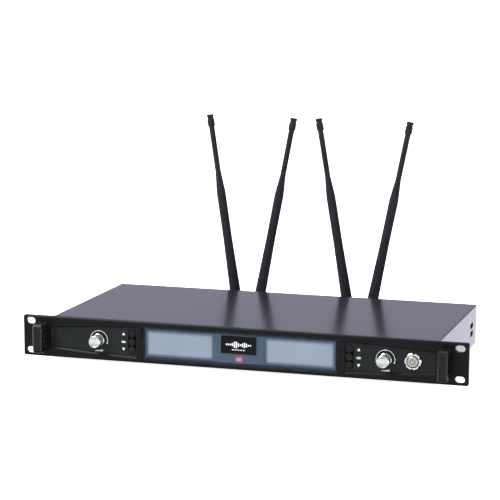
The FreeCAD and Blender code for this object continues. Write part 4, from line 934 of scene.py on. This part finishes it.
def place_couplings():
    """Knurled bayonet ring of each antenna."""
    low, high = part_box("antenna_1_coupling")
    outer = (high.x - low.x) / 2
    long = high.y - low.y
    sides = 72
    bore, lip = 6.0 * MM, 5.2 * MM
    pattern = hoop("coupling", [
        (bore, 0), (outer - 0.5 * MM, 0), (outer, 0.5 * MM), (outer, 1.8 * MM),
        (outer - 0.35 * MM, 2.1 * MM), (outer - 0.35 * MM, 2.6 * MM), (outer, 2.9 * MM),
        (outer, long - 4.4 * MM), (outer - 0.35 * MM, long - 4.1 * MM),
        (outer - 0.35 * MM, long - 3.5 * MM), (outer, long - 3.2 * MM), (outer, long - 0.8 * MM),
        (outer - 0.8 * MM, long), (lip, long), (lip, long - 2 * MM), (bore, long - 2 * MM),
    ], sides)
    flute(pattern, sides, 3.0 * MM, long - 4.5 * MM, 0.06 * MM, 0.25 * MM)
    for number in (1, 2, 3, 4):
        low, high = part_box(f"antenna_{number}_coupling")
        ring = copy(pattern, f"antenna_{number}_knurled_ring")
        put(ring, Vector(((low.x + high.x) / 2, low.y, (low.z + high.z) / 2)), BACK)
        body = f"antenna_{number}_coupling"
        finish_piece(ring, FINISHES["coupling_nickel"], body)
        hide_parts(body)
    bpy.data.objects.remove(pattern)


def place_feet():
    """Moulded rubber feet with a chamfered tread and a recessed middle."""
    boxes = solid_boxes("rubber_feet")
    low, high = boxes[0]
    radius, tall = (high.x - low.x) / 2, high.z - low.z
    pattern = turned("foot", [(radius, 0), (radius - 0.2 * MM, tall * 0.5),
                              (radius - 0.9 * MM, tall - 0.3 * MM), (radius - 1.3 * MM, tall),
                              (radius * 0.5, tall), (radius * 0.45, tall - 1.2 * MM),
                              (radius * 0.1, tall - 1.2 * MM)], 48)
    feet = []
    for low, high in boxes:
        foot = copy(pattern, "foot")
        feet.append(put(foot, Vector(((low.x + high.x) / 2, (low.y + high.y) / 2, high.z)), -UP))
    bpy.data.objects.remove(pattern)
    group = merge("moulded_feet", feet)
    finish_piece(group, FINISHES["foot_rubber"], "chassis")
    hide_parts("rubber_feet")


place_knobs()
make_power_mark()
print_plate_marks()
print_badge()
make_display_mask()
make_remote_window()
place_screws("panel_screws", "cross_head_screws", 2.5 * MM, 1.8 * MM, "screw_black", side_or_rear)
place_screws("handle_screws", "handle_bolts", 3.6 * MM, 2.4 * MM, "zinc_steel",
             lambda low, top: BACK)
place_couplings()
place_feet()


# ---------------------------------------------------------------- studio
def make_floor():
    deselect()
    bpy.ops.mesh.primitive_plane_add(size=30, location=(0, 0, CAD_LOW.z))
    floor = named("studio_floor")
    material, tree, shader, where = blank("pale_floor")
    cloud = noise(tree, where, 0.8, 1.0)
    pale = tint(tree, cloud, (0.93, 0.93, 0.93, 1), (0.96, 0.96, 0.96, 1))
    tree.links.new(pale, shader.inputs["Base Color"])
    tree.links.new(pale, shader.inputs["Emission Color"])
    path = add(tree, "ShaderNodeLightPath")
    tree.links.new(remap(tree, path.outputs["Is Camera Ray"], 0, 1, 0.30, 0.95),
                   shader.inputs["Emission Strength"])
    shader.inputs["Roughness"].default_value = 0.9
    shader.inputs["Specular IOR Level"].default_value = 0.0
    floor.data.materials.append(material)
    floor.visible_glossy = False


def make_world():
    """White behind everything; for reflections a studio brighter at the rear than in front."""
    world = bpy.data.worlds.new("studio")
    bpy.context.scene.world = world
    world.use_nodes = True
    tree = world.node_tree
    shown = tree.nodes["Background"]
    shown.inputs["Color"].default_value = (1, 1, 1, 1)
    shown.inputs["Strength"].default_value = 1.0
    split = add(tree, "ShaderNodeSeparateXYZ",
                [(0, add(tree, "ShaderNodeTexCoord").outputs["Generated"])])
    across, depth, height = split.outputs
    rearward = remap(tree, depth, -0.6, 0.8, soft=True)
    above = tint(tree, rearward, (0.50, 0.51, 0.53, 1), (0.565, 0.555, 0.695, 1))
    below = tint(tree, rearward, (0.98, 0.98, 0.98, 1), (1.70, 1.63, 1.88, 1))
    colour = tint(tree, remap(tree, height, 0.02, -0.10, soft=True), above, below)
    sideways = remap(tree, maths(tree, "ABSOLUTE", across), 0.80, 0.95, soft=True)
    low = remap(tree, height, 0.35, 0.0, soft=True)
    colour = tint(tree, maths(tree, "MULTIPLY", sideways, low), colour, (2.3, 2.3, 2.35, 1))
    colour = tint(tree, remap(tree, height, -0.45, -0.80, soft=True), colour, (0.04, 0.04, 0.04, 1))
    lighting = add(tree, "ShaderNodeBackground", [("Color", colour), ("Strength", 1.0)])
    path = add(tree, "ShaderNodeLightPath")
    both = add(tree, "ShaderNodeMixShader",
               [(0, path.outputs["Is Camera Ray"]), (1, lighting.outputs[0]),
                (2, shown.outputs[0])])
    tree.links.new(both.outputs[0], tree.nodes["World Output"].inputs["Surface"])


def softbox(name, place, aim, wide, high, watts):
    light = bpy.data.lights.new(name, "AREA")
    light.shape = "RECTANGLE"
    light.size, light.size_y = wide, high
    light.energy = watts
    lamp = bpy.data.objects.new(name, light)
    lamp.location = place
    lamp.rotation_euler = (Vector(aim) - Vector(place)).to_track_quat("-Z", "Y").to_euler()
    lamp.visible_camera = False
    bpy.context.scene.collection.objects.link(lamp)


CAMERA_PLACE = (0.5777, -1.84407, 0.41892)
CAMERA_TURN = (-0.29831, 0.161764, 0.003417)
FOCAL_MM = 137.1


def make_camera():
    """Three-quarter view from the right, a little above, with a long lens."""
    yaw, pitch, roll = CAMERA_TURN
    ahead = Vector((math.sin(yaw) * math.cos(pitch), math.cos(yaw) * math.cos(pitch),
                    -math.sin(pitch)))
    level = Vector((math.cos(yaw), -math.sin(yaw), 0))
    above = level.cross(ahead)
    right = level * math.cos(roll) + above * math.sin(roll)
    top = above * math.cos(roll) - level * math.sin(roll)
    lens = bpy.data.cameras.new("camera")
    lens.sensor_width = 36.0
    lens.lens = FOCAL_MM
    lens.shift_x = 0.0008
    lens.clip_end = 60.0
    camera = bpy.data.objects.new("camera", lens)
    camera.matrix_world = (Matrix.Translation(CAMERA_PLACE)
                           @ Matrix((right, top, -ahead)).transposed().to_4x4())
    bpy.context.scene.collection.objects.link(camera)
    bpy.context.scene.camera = camera


make_floor()
make_world()
softbox("key_left", (-1.3, -1.9, 1.3), (0, 0, 0), 1.2, 0.9, 24)
softbox("overhead_left", (-1.25, -0.45, 1.9), (-0.1, 0, 0), 1.4, 1.2, 48)
softbox("overhead", (0.2, 0.6, 1.9), (0, 0, 0), 2.0, 1.2, 10)
make_camera()
bpy.context.scene.view_settings.view_transform = "Standard"
